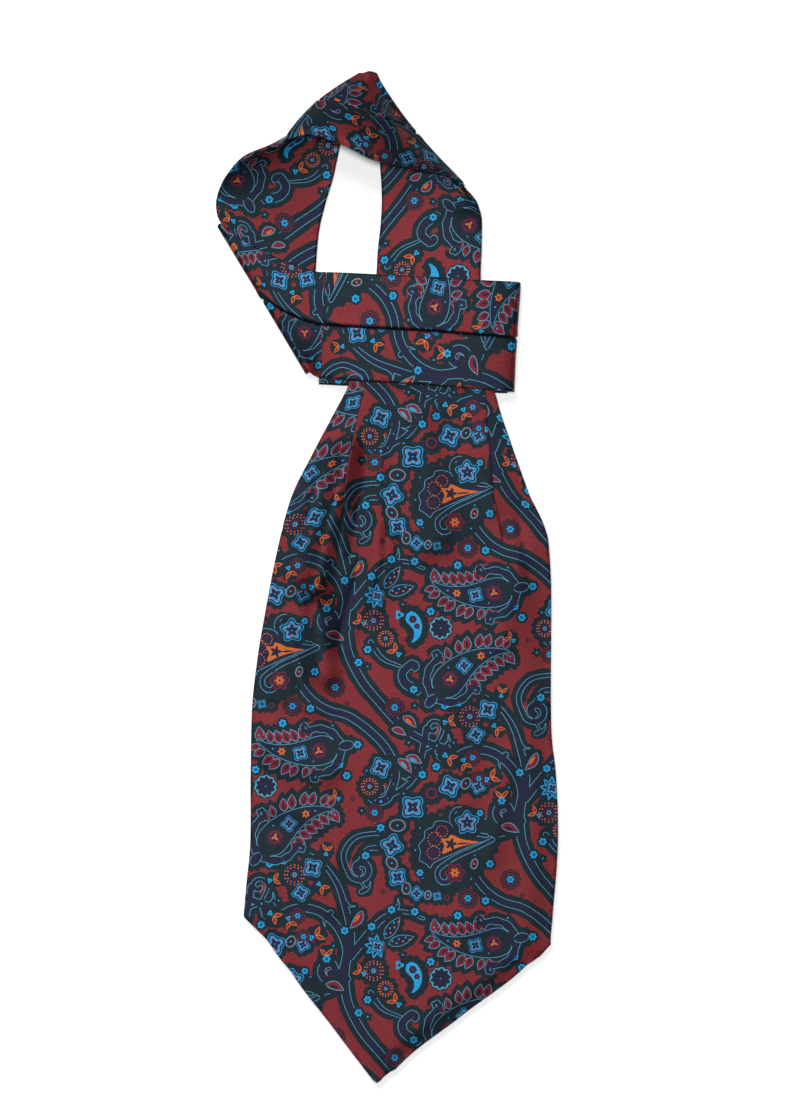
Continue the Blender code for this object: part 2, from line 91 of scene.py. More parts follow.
bandReturn = [
    (63.7, 91.8, flat, 67.5, 147.0, flat, 0.0, 0.0), (16.0, 93.5, flat, 20.0, 147.0, flat, 0.0, 0.0),
    (-34.0, 96.0, flat, -32.5, 147.0, flat, 0.0, 0.0)]

# Folds: radius, side of the line it bulges to (right is 1), degrees it stands open at edge b
topRightFold = (wall["tightFold"], -1, 70.0)
topLeftFold = (wall["tightFold"], 1, 80.0)
lowerLeftFold = (wall["tightFold"], -1, 0.0)
rightEndFold = (wall["sideFold"], 1, 0.0)

# The blade's outline as (y, x), its pleats and its soft folds
leftSide = [(121.0, -11.5), (95.0, -19.0), (76.0, -29.0), (59.0, -38.0), (42.0, -46.5), (26.0, -51.5),
            (6.0, -56.0), (-15.0, -60.0), (-38.0, -64.0), (-64.0, -67.0), (-100.0, -67.8), (-134.0, -68.0),
            (-158.5, -70.3), (-170.0, -71.3)]
leftPoint = [(-170.0, -71.3), (-181.0, -60.0), (-196.0, -48.5), (-223.5, -28.0), (-252.2, -6.3)]
rightSide = [(121.0, 50.0), (95.0, 53.0), (90.5, 54.5), (65.0, 62.5), (41.0, 71.0), (23.0, 79.3),
             (10.5, 81.2), (-8.0, 82.0), (-61.5, 81.8), (-81.0, 82.3), (-97.0, 84.2), (-119.0, 85.3),
             (-141.0, 85.0), (-172.5, 82.5), (-184.0, 81.5)]
rightPoint = [(-184.0, 81.5), (-193.0, 70.5), (-221.0, 35.2), (-246.0, 4.5), (-252.2, -3.8)]
pleats = [(121.0, 0.05, 0.96, 1.0, 1.0), (95.0, 0.104, 0.95, 1.0, 1.0), (74.0, 0.155, 0.908, 1.0, 1.0),
          (64.0, 0.177, 0.887, 0.9, 1.0), (36.0, 0.222, 0.848, 0.7, 0.8), (25.0, 0.228, 0.832, 0.5, 0.45),
          (5.0, 0.235, 0.82, 0.2, 0.0), (-12.0, 0.24, 0.81, 0.0, 0.0), (-260.0, 0.25, 0.78, 0.0, 0.0)]
folds = [  # x0, y0, x1, y1, half width, height
    (-19.5, 62.0, -36.0, -6.0, 7.5, 3.1), (-36.0, -6.0, -31.0, -48.0, 9.0, 2.6),
    (-7.0, 72.0, -8.5, 8.0, 6.5, -2.3), (-8.5, 8.0, -22.0, -34.0, 7.0, -1.9),
    (16.0, 82.0, 24.0, 20.0, 12.0, 1.6), (64.0, 6.0, 56.0, -34.0, 11.0, 1.5),
    (-58.0, -66.0, -34.0, -76.0, 8.0, -1.3), (-62.0, -90.0, -30.0, -98.0, 8.5, 1.2),
    (-56.0, -124.0, -34.0, -132.0, 8.0, -1.1), (30.0, -60.0, 40.0, -170.0, 15.0, 0.9)]
creases = [  # finer creases pressed in by handling
    (-34.0, 54.0, -42.0, 18.0, 3.4, 0.8), (-13.0, 42.0, -18.0, 10.0, 3.0, -0.8),
    (44.0, 62.0, 54.0, 34.0, 4.0, 0.7), (2.0, 24.0, -6.0, -18.0, 4.5, 0.8),
    (66.0, 34.0, 71.0, 2.0, 4.0, -0.7), (-50.0, -24.0, -42.0, -58.0, 4.5, -0.8),
    (10.0, -84.0, 26.0, -122.0, 8.0, 0.7), (-20.0, -148.0, -6.0, -188.0, 8.0, -0.6),
    (60.0, -92.0, 52.0, -140.0, 7.0, 0.6), (-46.0, -148.0, -28.0, -166.0, 6.0, 0.6),
    (22.0, 4.0, 36.0, -22.0, 7.0, -0.6), (-14.0, -52.0, 6.0, -62.0, 7.0, 0.5)]
neckHollow = (11.0, 93.0, 36.0, 91.0, 7.0, -1.0)  # where the panel dips between the pleats
bladeShape = dict(puff=1.1, puffFade=(50.0, 85.0), pleatStep=1.3, neckFloor=2.3, neckSlope=(66.0, 92.0),
                  edgeSoftness=14.0, pointLow=252.0, pointSlope=0.75, cutWidth=131.0, tuckFade=(14.0, 40.0),
                  foldRadius=0.33)

# Ink colours, linear; seam is not a print ink but painted shade, the near-black of the seam's gap
inks = dict(
    wine=(0.176, 0.0215, 0.026), teal=(0.0078, 0.0182, 0.0250), navy=(0.0125, 0.0150, 0.0380),
    line=(0.070, 0.270, 0.380), cyan=(0.014, 0.280, 0.560), leaf=(0.170, 0.012, 0.030),
    orange=(0.500, 0.120, 0.028), rust=(0.300, 0.045, 0.010), purple=(0.034, 0.014, 0.042),
    seam=(0.004, 0.004, 0.006))
inkNames = list(inks)
lineWidth = 0.31  # the light line round the dark shapes


# Smooth tables
def smoothstep(low, high, value):
    t = np.clip((value - low) / (high - low), 0.0, 1.0)
    return t * t * (3.0 - 2.0 * t)


def throughRows(rows, t):  # smooth curve through a table, t is 1 more at each row
    rows = np.asarray(rows, float)
    t = np.asarray(t, float)
    padded = np.vstack([2 * rows[0] - rows[1], rows, 2 * rows[-1] - rows[-2]])
    i = np.clip(t.astype(int), 0, len(rows) - 2)
    f = (t - i)[..., None]
    p, q, r, s = padded[i], padded[i + 1], padded[i + 2], padded[i + 3]
    square, cube = 2 * p - 5 * q + 4 * r - s, 3 * q - p - 3 * r + s
    return 0.5 * (2 * q + (r - p) * f + square * f ** 2 + cube * f ** 3)


def downTable(table, y):  # the table's other columns, smoothly mixed at height y
    table = np.asarray(table, float)
    y = np.asarray(y, float)
    heights = table[:, 0]
    i = np.clip(np.searchsorted(-heights, -y, side="left") - 1, 0, len(table) - 2)
    t = i + (heights[i] - y) / (heights[i] - heights[i + 1])
    return throughRows(table, np.clip(t, 0.0, len(table) - 1.0))[..., 1:]


def unit(v):
    return v / np.maximum(np.linalg.norm(v, axis=-1, keepdims=True), 1e-12)


def reachAlong(points):  # the length of a line up to each of its points
    return np.concatenate([[0.0], np.cumsum(np.linalg.norm(np.diff(points, axis=0), axis=1))])


# The neckband's surface
def trimmed(rows, start=None, end=None):  # ends drawn back to leave room for the folds
    rows = [list(row) for row in rows]
    for index, bend in ((0, start), (-1, end)):
        if bend:
            row = rows[index]
            dx, dy = row[3] - row[0], row[4] - row[1]
            away = math.hypot(dx, dy)
            reach = -bend[1] * (bend[0] + flat)
            for k in (0, 3):
                row[k] += dy / away * reach
                row[k + 1] -= dx / away * reach
    return np.array(rows)


def bandPoint(rows, t, u):
    row = throughRows(rows, t)
    a, b = row[..., 0:3], row[..., 3:6]
    across = unit(b - a)
    a, b = a + flat * across, b - flat * across
    along = unit(np.stack([across[..., 1], -across[..., 0], np.zeros_like(u)], -1))
    u1 = u[..., None]
    point = a + (b - a) * u1 + along * (row[..., 6:7] * 4.0 * u1 * (1.0 - u1))
    rise = u * u * (1.0 + edgeRest) / (u + edgeRest)
    point[..., 2] = a[..., 2] + (b[..., 2] - a[..., 2]) * rise + row[..., 7] * 4.0 * rise * (1.0 - rise)
    return point


def wallNormal(rows, t, u):
    step = 0.02
    last = len(rows) - 1.0
    low, high = np.maximum(u - step, 0.0), np.minimum(u + step, 1.0)
    across = unit(bandPoint(rows, t, high) - bandPoint(rows, t, low))
    along = bandPoint(rows, np.minimum(t + step, last), u) - bandPoint(rows, np.maximum(t - step, 0.0), u)
    return across, unit(np.cross(across, along))


def bandFrame(rows, t, u):  # point, direction across, normal of the side that faces up
    _, middle = wallNormal(rows, t, np.full_like(u, 0.5))
    across, normal = wallNormal(rows, t, np.maximum(u, levelTo))
    turned = (normal * middle).sum(-1) * middle[..., 2] < 0.0
    normal = np.where(turned[..., None], -normal, normal)
    own, _ = wallNormal(rows, t, u)
    share = (u / levelTo)[..., None]
    level = np.array([0.0, 0.0, 1.0]) * (1.0 - share) + normal * share
    level = unit(level - own * (level * own).sum(-1, keepdims=True))
    near = (u < levelTo)[..., None]
    return bandPoint(rows, t, u), np.where(near, own, across), np.where(near, level, normal)


def roundBend(frameAt, bend, u, share):  # a point on the way round a fold
    point, across, normal = frameAt
    radius, side, openAtB = bend
    outward = unit(np.cross(across, normal))
    toRight = across[..., 1] * outward[..., 0] - across[..., 0] * outward[..., 1]
    outward = np.where((toRight * side < 0.0)[..., None], -outward, outward)
    turn = (share * np.radians(180.0 - openAtB * u))[..., None]
    spoke = normal * np.cos(turn) + outward * np.sin(turn)
    run = outward * np.cos(turn) - normal * np.sin(turn)
    return point + (spoke - normal) * radius, across, spoke, run


def stretchFrame(stretch, q, u):  # q runs along the rows, below 0 and past the end round the folds
    rows, last = stretch["rows"], len(stretch["rows"]) - 1.0
    t = np.clip(q, 0.0, last)
    point, across, normal = bandFrame(rows, t, u)
    for ownEnd, overRows, overEnd, bend in stretch.get("seats", ()):
        share = smoothstep(1.0, 0.0, np.abs(t - ownEnd))[..., None]
        over = bandFrame(overRows, np.full_like(u, overEnd), u)
        endPoint, _, spoke, run = roundBend(over, bend, u, np.ones_like(u))
        target = endPoint + run * wall["gap"]
        point = point + (target - bandPoint(rows, np.full_like(u, ownEnd), u)) * share
        normal = unit(normal * (1.0 - share) - spoke * share)
    for atEnd, bend in stretch.get("folds", ()):
        share = np.maximum(-q, 0.0) if atEnd == 0 else np.maximum(q - last, 0.0)
        base = bandFrame(rows, np.full_like(u, float(atEnd)), u)
        bent = roundBend(base, bend, u, np.minimum(share, 1.0))
        on = (share > 0.0)[..., None]
        straight = (point, across, normal)
        point, across, normal = (np.where(on, new, old) for new, old in zip(bent[:3], straight))
    return point, across, normal


def stripLayout(stretch):  # where each row crosses the strip's two edges, in the flat strip
    last = len(stretch["rows"]) - 1.0
    ends = [end for end, _ in stretch.get("folds", ())]
    q = np.linspace(-1.0 if 0 in ends else 0.0, last + (1.0 if last in ends else 0.0), 400)
    edge = [stretchFrame(stretch, q, np.full_like(q, u))[0] for u in (0.0, 1.0)]
    reach = [reachAlong(points) for points in edge]
    middle = stretchFrame(stretch, q, np.full_like(q, 0.5))[0]
    lean = ((edge[1] - edge[0]) * unit(np.gradient(middle, axis=0))).sum(1)
    inner = (q > 0.3) & (q < last - 0.3)
    offset = float((lean - (reach[1] - reach[0]))[inner].mean())
    stretch.update(q=q, a=reach[0], b=reach[1] + offset)


def acrossRow(stretch, q, u):  # where row q lies in the flat strip
    return (1 - u) * np.interp(q, stretch["q"], stretch["a"]) + u * np.interp(q, stretch["q"], stretch["b"])


def rowAt(stretch, x, u):  # which row crosses the strip at x, found by halving
    low, high = np.full_like(x, stretch["q"][0]), np.full_like(x, stretch["q"][-1])
    for _ in range(26):
        middle = (low + high) / 2
        here = acrossRow(stretch, middle, u)
        low, high = np.where(here < x, middle, low), np.where(here < x, high, middle)
    return (low + high) / 2


def foldBreaks(stretch):  # rows to keep crisp round the folds
    last = len(stretch["rows"]) - 1.0
    breaks = []
    for atEnd, _ in stretch.get("folds", ()):
        for share in (0.0, 0.17, 0.34, 0.5, 0.67, 0.84):
            breaks.append(-share if atEnd == 0 else last + share)
    return [q for q in breaks if stretch["q"][0] < q < stretch["q"][-1]]


seamShape = dict(dipWidth=0.45, ridge=0.22, ridgeAt=1.6, ridgeWidth=1.3, lipAt=1.5, lipWidth=0.5)
rimBlend, rimSpread = 5.5, 0.9  # how far in from edge a the apex rim is followed


def roundTube(v):  # v goes round the tube: share of the way across, and side (1 is the seam's)
    v = np.asarray(v, float)
    quarter = stripWidth / 2
    seamSide = (v < quarter) | (v > 3 * quarter)
    u = np.where(v < quarter, 0.5 - v / stripWidth,
                 np.where(v > 3 * quarter, 1.0 - (v - 3 * quarter) / stripWidth, (v - quarter) / stripWidth))
    return u, np.where(seamSide, 1.0, -1.0)


def bandSurface(stretch, x, v):
    u, side = roundTube(v)
    q = rowAt(stretch, x, u)
    half = flat
    rim = half * math.pi / 2
    toA, toB = u * stripWidth, (1.0 - u) * stripWidth
    inside = np.clip((toA - rim) / (stripWidth - 2 * rim), 0.0, 1.0)
    point, across, normal = stretchFrame(stretch, q, inside)
    up = side * (1.0 if stretch["seamUp"] else -1.0)
    roundA = np.clip(toA / half, 0.0, math.pi / 2)
    roundB = np.clip(toB / half, 0.0, math.pi / 2)
    rise = np.sin(np.minimum(roundA, roundB))
    out = np.where(toA < toB, -np.cos(roundA), np.cos(roundB))
    fromFold = np.full_like(u, tipRows)
    for atEnd, _ in stretch.get("folds", ()):
        fromFold = np.minimum(fromFold, np.maximum(q - atEnd if atEnd == 0 else atEnd - q, 0.0))
    tip = np.where(toA < toB, foldTip + (1.0 - foldTip) * fromFold / tipRows, 1.0)
    thick = np.full_like(u, half) * rise
    seam = np.minimum(v, 2 * stripWidth - v)
    thick = thick - stretch["seamDepth"] * np.exp(-(seam / seamShape["dipWidth"]) ** 2)
    ridge = np.exp(-((seam - seamShape["ridgeAt"]) / seamShape["ridgeWidth"]) ** 2)
    thick = thick + seamShape["ridge"] * ridge * (v > stripWidth)
    if "lip" in stretch:  # the two layers stand a little apart along edge b
        lip = stretch["lip"] * np.exp(-((toB - seamShape["lipAt"]) / seamShape["lipWidth"]) ** 2)
        thick = thick - np.where(up > 0, lip, 0.0)
    placed = point + across * (out * tip * half)[..., None]
    if "apex" in stretch:  # the rows fan out from one point, so the rim there is drawn to a smooth line
        peak = np.array(stretch["apex"])
        apexRim = np.stack([np.interp(q, peak[:, 0], peak[:, k]) for k in (1, 2, 3)], -1)
        share = (smoothstep(rimBlend, 0.0, toA) * (toA < toB))[..., None]
        placed = placed * (1.0 - share) + (apexRim + across * (toA * rimSpread)[..., None]) * share
    for low, high, reach, offset in stretch.get("corners", ()):  # a corner of edge b moved in
        share = smoothstep(reach, 0.0, toB) * (1.0 - smoothstep(low, high, q)) * (toB < toA)
        placed = placed + np.array(offset) * share[..., None]
    return placed + normal * (thick * up)[..., None]


# The blade's surface
def foldHeight(fold, x, y):
    x0, y0, x1, y1, halfWidth, height = fold
    runX, runY = x1 - x0, y1 - y0
    share = np.clip(((x - x0) * runX + (y - y0) * runY) / (runX ** 2 + runY ** 2), 0.0, 1.0)
    away = np.hypot(x - x0 - runX * share, y - y0 - runY * share) / halfWidth
    return height * np.exp(-1.6 * away * away)


def bladeSides(y):
    return [np.where(y >= side[-1][0], downTable(side, y)[..., 0], downTable(point, y)[..., 0])
            for side, point in ((leftSide, leftPoint), (rightSide, rightPoint))]


def tuckDepth(y, width):  # how deep each pleat tucks the cloth in
    return np.maximum(0.0, (bladeShape["cutWidth"] - width) / 4.0) * smoothstep(*bladeShape["tuckFade"], y)


def tuckShift(q, depth):  # how far the cloth beyond a pleat's edge is drawn back
    r = bladeShape["foldRadius"]
    return np.sqrt(q * q + r * r) - np.sqrt((q - depth) ** 2 + r * r) + depth


def pastEdge(q):  # 0 before a pleat's edge, 1 beyond it
    r = bladeShape["foldRadius"]
    return 0.5 * (1.0 + q / np.sqrt(q * q + r * r))


def bladeSurface(f, y):
    left, right = bladeSides(y)
    width = right - left
    shares = downTable(pleats, y)
    leftPleat, rightPleat = left + width * shares[..., 0], left + width * shares[..., 1]
    depth = tuckDepth(y, width)
    qLeft, qRight = leftPleat - f, f - rightPleat
    x = f + tuckShift(qLeft, depth) - tuckShift(qRight, depth)
    x = np.clip(x, left - 0.3, right + 0.3)
    across = np.clip((f - leftPleat) / np.maximum(rightPleat - leftPleat, 1.0), 0.0, 1.0)
    step = shares[..., 2] * (1 - across) + shares[..., 3] * across
    for q in (qLeft, qRight):
        step = step * (1.0 - 0.5 * pastEdge(q) - 0.5 * pastEdge(q - depth))
    toPoint = (y + bladeShape["pointLow"]) * bladeShape["pointSlope"]
    edge = np.minimum(np.minimum(x - left, right - x), toPoint)
    soft = smoothstep(0.0, bladeShape["edgeSoftness"], edge)
    height = bladeShape["puff"] * (1.0 - smoothstep(*bladeShape["puffFade"], y))
    for fold in folds + creases:
        height = height + foldHeight(fold, x, y)
    under = wall["lining"] + wall["gap"]
    floor = under + (bladeShape["neckFloor"] - under) * smoothstep(*bladeShape["neckSlope"], y)
    rise = step * (bladeShape["pleatStep"] + foldHeight(neckHollow, x, y))
    z = floor + np.maximum(height, 0.0) * soft + wall["blade"] + rise
    return np.stack([x, y, z], -1)


# Drawing the print
def rotated(xy, turn):
    c, s = math.cos(turn), math.sin(turn)
    return np.asarray(xy, float) @ np.array([[c, s], [-s, c]])


def blob(r, petals=0, depth=0.0, points=24, stretch=1.0):  # a disc, or a flower's outline
    angle = np.arange(points) * 2 * math.pi / points
    radius = r * (1.0 + depth * np.cos(petals * angle))
    return np.stack([radius * np.cos(angle) * stretch, radius * np.sin(angle)], 1)


def petal(length, width, points=6, lean=0.0):  # a pointed leaf from the origin along +X
    t = np.linspace(0.0, 1.0, points)
    half = width / 2 * np.sin(math.pi * t ** 0.8) ** 0.85
    spine = lean * np.sin(math.pi * t) * length
    upper = np.stack([t * length, spine + half], 1)
    lower = np.stack([t * length, spine - half], 1)[::-1][1:-1]
    return np.vstack([upper, lower])


def inset(xy, d):  # drawn in by d all round
    before, after = np.roll(xy, 1, 0), np.roll(xy, -1, 0)
    tangent = unit(after - before)
    area = 0.5 * float((xy[:, 0] * after[:, 1] - after[:, 0] * xy[:, 1]).sum())
    inward = np.stack([-tangent[:, 1], tangent[:, 0]], 1) * math.copysign(1.0, area)
    return xy + inward * d


def smoothLine(points, step=3.0):  # a smooth line with points closer together where it bends
    points = np.asarray(points, float)
    fine = throughRows(points, np.linspace(0, len(points) - 1, 30 * len(points)))
    run = np.diff(fine, axis=0)
    turn = np.abs(np.diff(np.unwrap(np.arctan2(run[:, 1], run[:, 0])), prepend=0.0))
    turn[0] = 0.0
    cost = np.concatenate([[0], np.cumsum(np.linalg.norm(run, axis=1) / step + turn / 0.30)])
    even = np.linspace(0, cost[-1], max(4, int(cost[-1])))
    return np.stack([np.interp(even, cost, fine[:, k]) for k in range(2)], 1)


def ribbon(line, half, capped=True):  # a band of half widths along a line, with round ends
    tangent = unit(np.gradient(line, axis=0))
    normal = np.stack([-tangent[:, 1], tangent[:, 0]], 1)
    half = np.array(np.broadcast_to(half, len(line)))[:, None]
    sides = [line + normal * half, (line - normal * half)[::-1]]
    if not capped:
        return np.vstack(sides)
    caps = []
    for i, sign in ((-1, 1.0), (0, -1.0)):
        caps.append(np.stack([line[i] + half[i] * sign * (normal[i] * math.cos(a) + tangent[i] * math.sin(a))
                              for a in (0.8, math.pi / 2, math.pi - 0.8)]))
    return np.vstack([sides[0], caps[0], sides[1], caps[1]])


def scalloped(xy, out, pitch=3.6, bump=0.8):  # an outline set out and waved, for the dark halos
    xy = inset(xy, -out)
    closed = np.vstack([xy, xy[:1]])
    reach = reachAlong(closed)
    waves = max(5, round(reach[-1] / pitch))
    even = np.arange(waves * 4) * reach[-1] / (waves * 4)
    smooth = np.stack([np.interp(even, reach, closed[:, k]) for k in (0, 1)], 1)
    return inset(smooth, -(bump * np.abs(np.sin(np.arange(waves * 4) * math.pi / 4)))[:, None])


def moved(shapes, x=0.0, y=0.0, turn=0.0, size=1.0, flip=False, up=0.0):
    mirror = np.array([1.0, -1.0 if flip else 1.0])
    return [(level + up, ink, rotated(np.asarray(xy, float) * size * mirror, turn) + np.array([x, y]))
            for level, ink, xy in shapes]


def edged(level, xy, fill="navy"):
    return [(level, "line", xy), (level + 0.1, fill, inset(xy, lineWidth))]


def dot(level, ink, x, y, r=0.42):
    return (level, ink, blob(r, points=6) + np.array([x, y]))


def floret(r=4.9, petals=4, eyes=3):  # blue outline, dark ring, blue petals, rust dots and dark heart
    made = [(2, "teal", scalloped(blob(r, petals, 0.16, 24), 2.0, 3.4, 0.8)),
            (3, "cyan", blob(r, petals, 0.18, 36)), (4, "navy", blob(r * 0.92, petals, 0.19, 32)),
            (5, "cyan", blob(r * 0.74, petals, 0.24, 32)), (6, "navy", blob(r * 0.46, petals, 0.36, 20)),
            dot(7, "cyan", 0, 0, r * 0.08)]
    for k in range(petals):
        for j in range(eyes):
            a = 2 * math.pi * k / petals + (j - (eyes - 1) / 2) * 0.38
            reach = r * (0.70 if j == (eyes - 1) / 2 else 0.52)
            made.append(dot(6, "rust", reach * math.cos(a), reach * math.sin(a), r * 0.085))
    return made


def tinyFloret(r=1.9):
    return [(2, "teal", blob(r * 1.7, 6, 0.07, 18)), (3, "cyan", blob(r, 6, 0.17, 24)),
            (4, "navy", blob(r * 0.44, points=8)), dot(5, "cyan", 0, 0, r * 0.17)]


def oval(rx=3.9, ry=3.0, bead="cyan"):
    ring = blob(ry, points=20, stretch=rx / ry)
    return [(2, "teal", scalloped(ring, 1.9, 3.4, 0.7)), (3, "line", ring), (4, "leaf", inset(ring, 0.42)),
            (5, "teal", inset(ring, 0.95)), dot(6, bead, 0, 0, 0.55)]


def rosette(r=5.0):
    return [(2, "teal", blob(r, 11, 0.07, 44)), (3, "leaf", blob(r * 0.84, 11, 0.09, 44)),
            (4, "teal", blob(r * 0.76, 11, 0.09, 44)), (5, "leaf", blob(r * 0.56, 9, 0.10, 36)),
            (6, "navy", blob(r * 0.48, 9, 0.10, 36)), (7, "cyan", blob(r * 0.32, 6, 0.20, 24)),
            (8, "navy", blob(r * 0.15, points=8)), dot(9, "cyan", 0, 0, r * 0.06)]


def daisy(r=5.5, petals=10):
    made = [(2, "teal", blob(r * 1.12, petals, 0.03, 40)), (3, "line", blob(r, petals, 0.05, 60))]
    for k in range(petals):
        shape = petal(r * 0.92, r * 0.60, 7) + np.array([r * 0.05, 0.0])
        made.append((4, "navy", rotated(shape, 2 * math.pi * k / petals)))
    return made


def bud(size=1.0, spread=0.75):  # orange sepals and a blue tip
    made = [(2, "teal", scalloped(blob(3.0, points=14, stretch=1.25), 0.9, 3.0, 0.8))]
    for turn in (-spread, spread):
        sepal = rotated(petal(4.3, 2.0, 7), turn)
        made += [(3, "orange", sepal), (4, "leaf", rotated(petal(3.1, 1.05, 5) + np.array([0.6, 0.0]), turn))]
    made += [(3, "cyan", blob(1.1, 3, 0.3, 15) + np.array([-1.9, 0.0])), dot(4, "navy", -1.9, 0, 0.4)]
    return moved(made, size=size)


def leafDrop(length=8.5, width=3.8, heart="orange", halo=1.8):
    outer = petal(length, width, 9, 0.08)
    return [(2, "teal", scalloped(outer, halo, 3.2, 0.7)), (3, "line", outer),
            (4, "leaf", inset(outer, 0.38)),
            (5, heart, petal(length * 0.5, width * 0.34, 6) + np.array([length * 0.2, 0.0]))]


def curlOn(points, side, r, turns=1.1):  # a path that ends in a curl, to its left where side is 1
    points = np.asarray(points, float)
    heading = unit(points[-1] - points[-2])
    centre = points[-1] + np.array([-heading[1], heading[0]]) * side * r
    start = math.atan2(points[-1][1] - centre[1], points[-1][0] - centre[0])
    share = np.linspace(0.0, 1.0, int(8 * turns) + 3)[1:]
    radius, angle = r * (1.0 - 0.74 * share), start + side * share * turns * 2 * math.pi
    return np.vstack([points, centre + np.stack([radius * np.cos(angle), radius * np.sin(angle)], 1)])


def steered(heading, step):  # a line from the origin that follows its headings
    steps = np.stack([np.cos(heading), np.sin(heading)], 1)[1:] * step
    return np.vstack([[0.0, 0.0], np.cumsum(steps, 0)])


def vine(points, half=1.9, ends=(1.0, 0.5), beads=0, halo=2.3, curl=None, level=0.0):
    line = smoothLine(curlOn(points, *curl) if curl else points)
    share = np.linspace(0.0, 1.0, len(line))
    width = half * (ends[0] + (ends[1] - ends[0]) * share)
    wave = 0.45 * np.abs(np.sin(np.arange(len(line)) * 0.9))
    spare = halo * (1.0 - (0.55 * smoothstep(0.75, 1.0, share) if curl else 0.0))
    made = [(level, "teal", ribbon(line, width + spare + wave)), (level + 1, "line", ribbon(line, width)),
            (level + 1.2, "navy", ribbon(line, np.maximum(width - lineWidth, 0.08)))]
    for k in range(beads):
        at = line[int((len(line) - 1) * (0.62 + 0.05 * k))]
        made.append(dot(level + 1.6, "cyan", at[0], at[1], 0.75 if k == beads // 2 else 0.38))
    return made


def hook(x, y, turn, size=1.0, flip=False):  # a barb on a vine's edge
    barb = smoothLine([(-3.0, 0.0), (0.0, 0.7), (2.2, 2.2), (3.0, 4.6)], 1.4)
    width = np.linspace(1.5, 0.25, len(barb))
    made = [(0, "teal", ribbon(barb, width + 1.7)), (1, "line", ribbon(barb, width)),
            (1.2, "navy", ribbon(barb, np.maximum(width - lineWidth, 0.05)))]
    return moved(made, x, y, turn, size, flip)


def boteh(length=44.0, width=16.0, curl=1.1, leaves=8):  # leaf-fringed paisley, tail at the origin
    share = np.linspace(0.0, 1.0, 28)
    heading = curl * (1.0 - share) ** 1.5 - 0.25 * curl
    spine = steered(heading, length / 27)
    half = width * 0.68 * (0.05 + 0.98 * share ** 1.1) * np.sqrt(np.maximum(1.0 - share ** 6, 0.0))
    body = ribbon(spine, half, False)
    body = np.vstack([body[:27], body[28:-1]])
    made = [(2, "teal", scalloped(body, 3.6, 4.6, 1.1))] + edged(3.4, body, "navy")
    made += [(3.6, "teal", ribbon(spine[9:26], np.maximum(half[9:26] - 1.7, 0.2)))]
    tangent = unit(np.gradient(spine, axis=0))
    for side, count in ((1.0, leaves), (-1.0, leaves - 1)):
        for k in range(count):
            at = 0.08 + 0.66 * k / (count - 1)
            i = int(at * 27)
            out = np.array([-tangent[i, 1], tangent[i, 0]]) * side
            root = spine[i] + out * (half[i] + 0.3)
            turn = math.atan2(out[1], out[0]) + side * (0.75 - 0.45 * at)
            size = 0.74 + 0.38 * math.sin(math.pi * min(1.0, at * 1.3))
            leaf = petal(6.8, 4.3, 8)
            made += moved([(2, "teal", petal(11.0, 8.0, 8) - np.array([1.0, 0.0]))] + edged(3, leaf, "leaf") +
                          [(3.3, "teal", petal(3.6, 1.2, 5) + np.array([1.0, 0.0]))], *root, turn, size)
    head, way = spine[21], heading[21]
    angle = np.linspace(-1.9, 1.9, 15) + way
    collarR = width / 2 + 3.4
    collar = head + np.stack([np.cos(angle) * collarR * 0.98, np.sin(angle) * collarR], 1)
    for part, side in ((collar[7:], 1.0), (collar[7::-1], -1.0)):
        path = smoothLine(curlOn(part, -side, 2.4, 0.75), 2.0)
        thick = np.linspace(2.3, 0.9, len(path)) + 0.25 * np.sin(np.arange(len(path)) * 1.3)
        made += [(2, "teal", ribbon(path, thick + 2.5)), (3, "line", ribbon(path, thick)),
                 (3.1, "navy", ribbon(path, thick - lineWidth))]
    made += moved([(2, "teal", blob(collarR + 3.2, points=30))], *head)
    tip = head + np.array([math.cos(way), math.sin(way)]) * (collarR + 2.8)
    made += moved([(2, "teal", scalloped(blob(2.6, points=14, stretch=1.5), 2.4, 3.6, 0.8))] +
                  edged(3.2, blob(2.5, points=18, stretch=1.6)), *tip, way)
    made += moved([(4, "purple", blob(4.2, 7, 0.07, 28)), (4.2, "leaf", blob(3.1, 7, 0.10, 28)),
                   (4.4, "navy", blob(2.5, 7, 0.10, 28))] +
                  [(5, "orange", rotated(petal(2.2, 1.3, 6), k * 2.1 + 0.4)) for k in range(3)], *spine[21])
    made += moved(floret(3.6)[1:], *spine[15], 0.6, up=2.0)
    made += moved([(4, "orange", blob(1.7, 6, 0.28, 24)), (5, "navy", blob(0.6, points=8))], *spine[9])
    made += [dot(4, "cyan", *spine[6], 0.5)]
    made += [dot(4, "cyan", *(spine[19] + tangent[19] * 0.2 + np.array([0, 4.6])), 0.4)]
    leaf = petal(7.0, 4.6, 8, 0.12)
    stem = edged(3.2, leaf, "leaf") + [(2, "teal", scalloped(leaf, 2.2, 3.6, 0.9))]
    stem += [dot(3.5, "cyan", 2.4, 0.6, 0.5)]
    return made + moved(stem, 0.3, 0.2, curl * 0.75 + math.pi + 1.0)


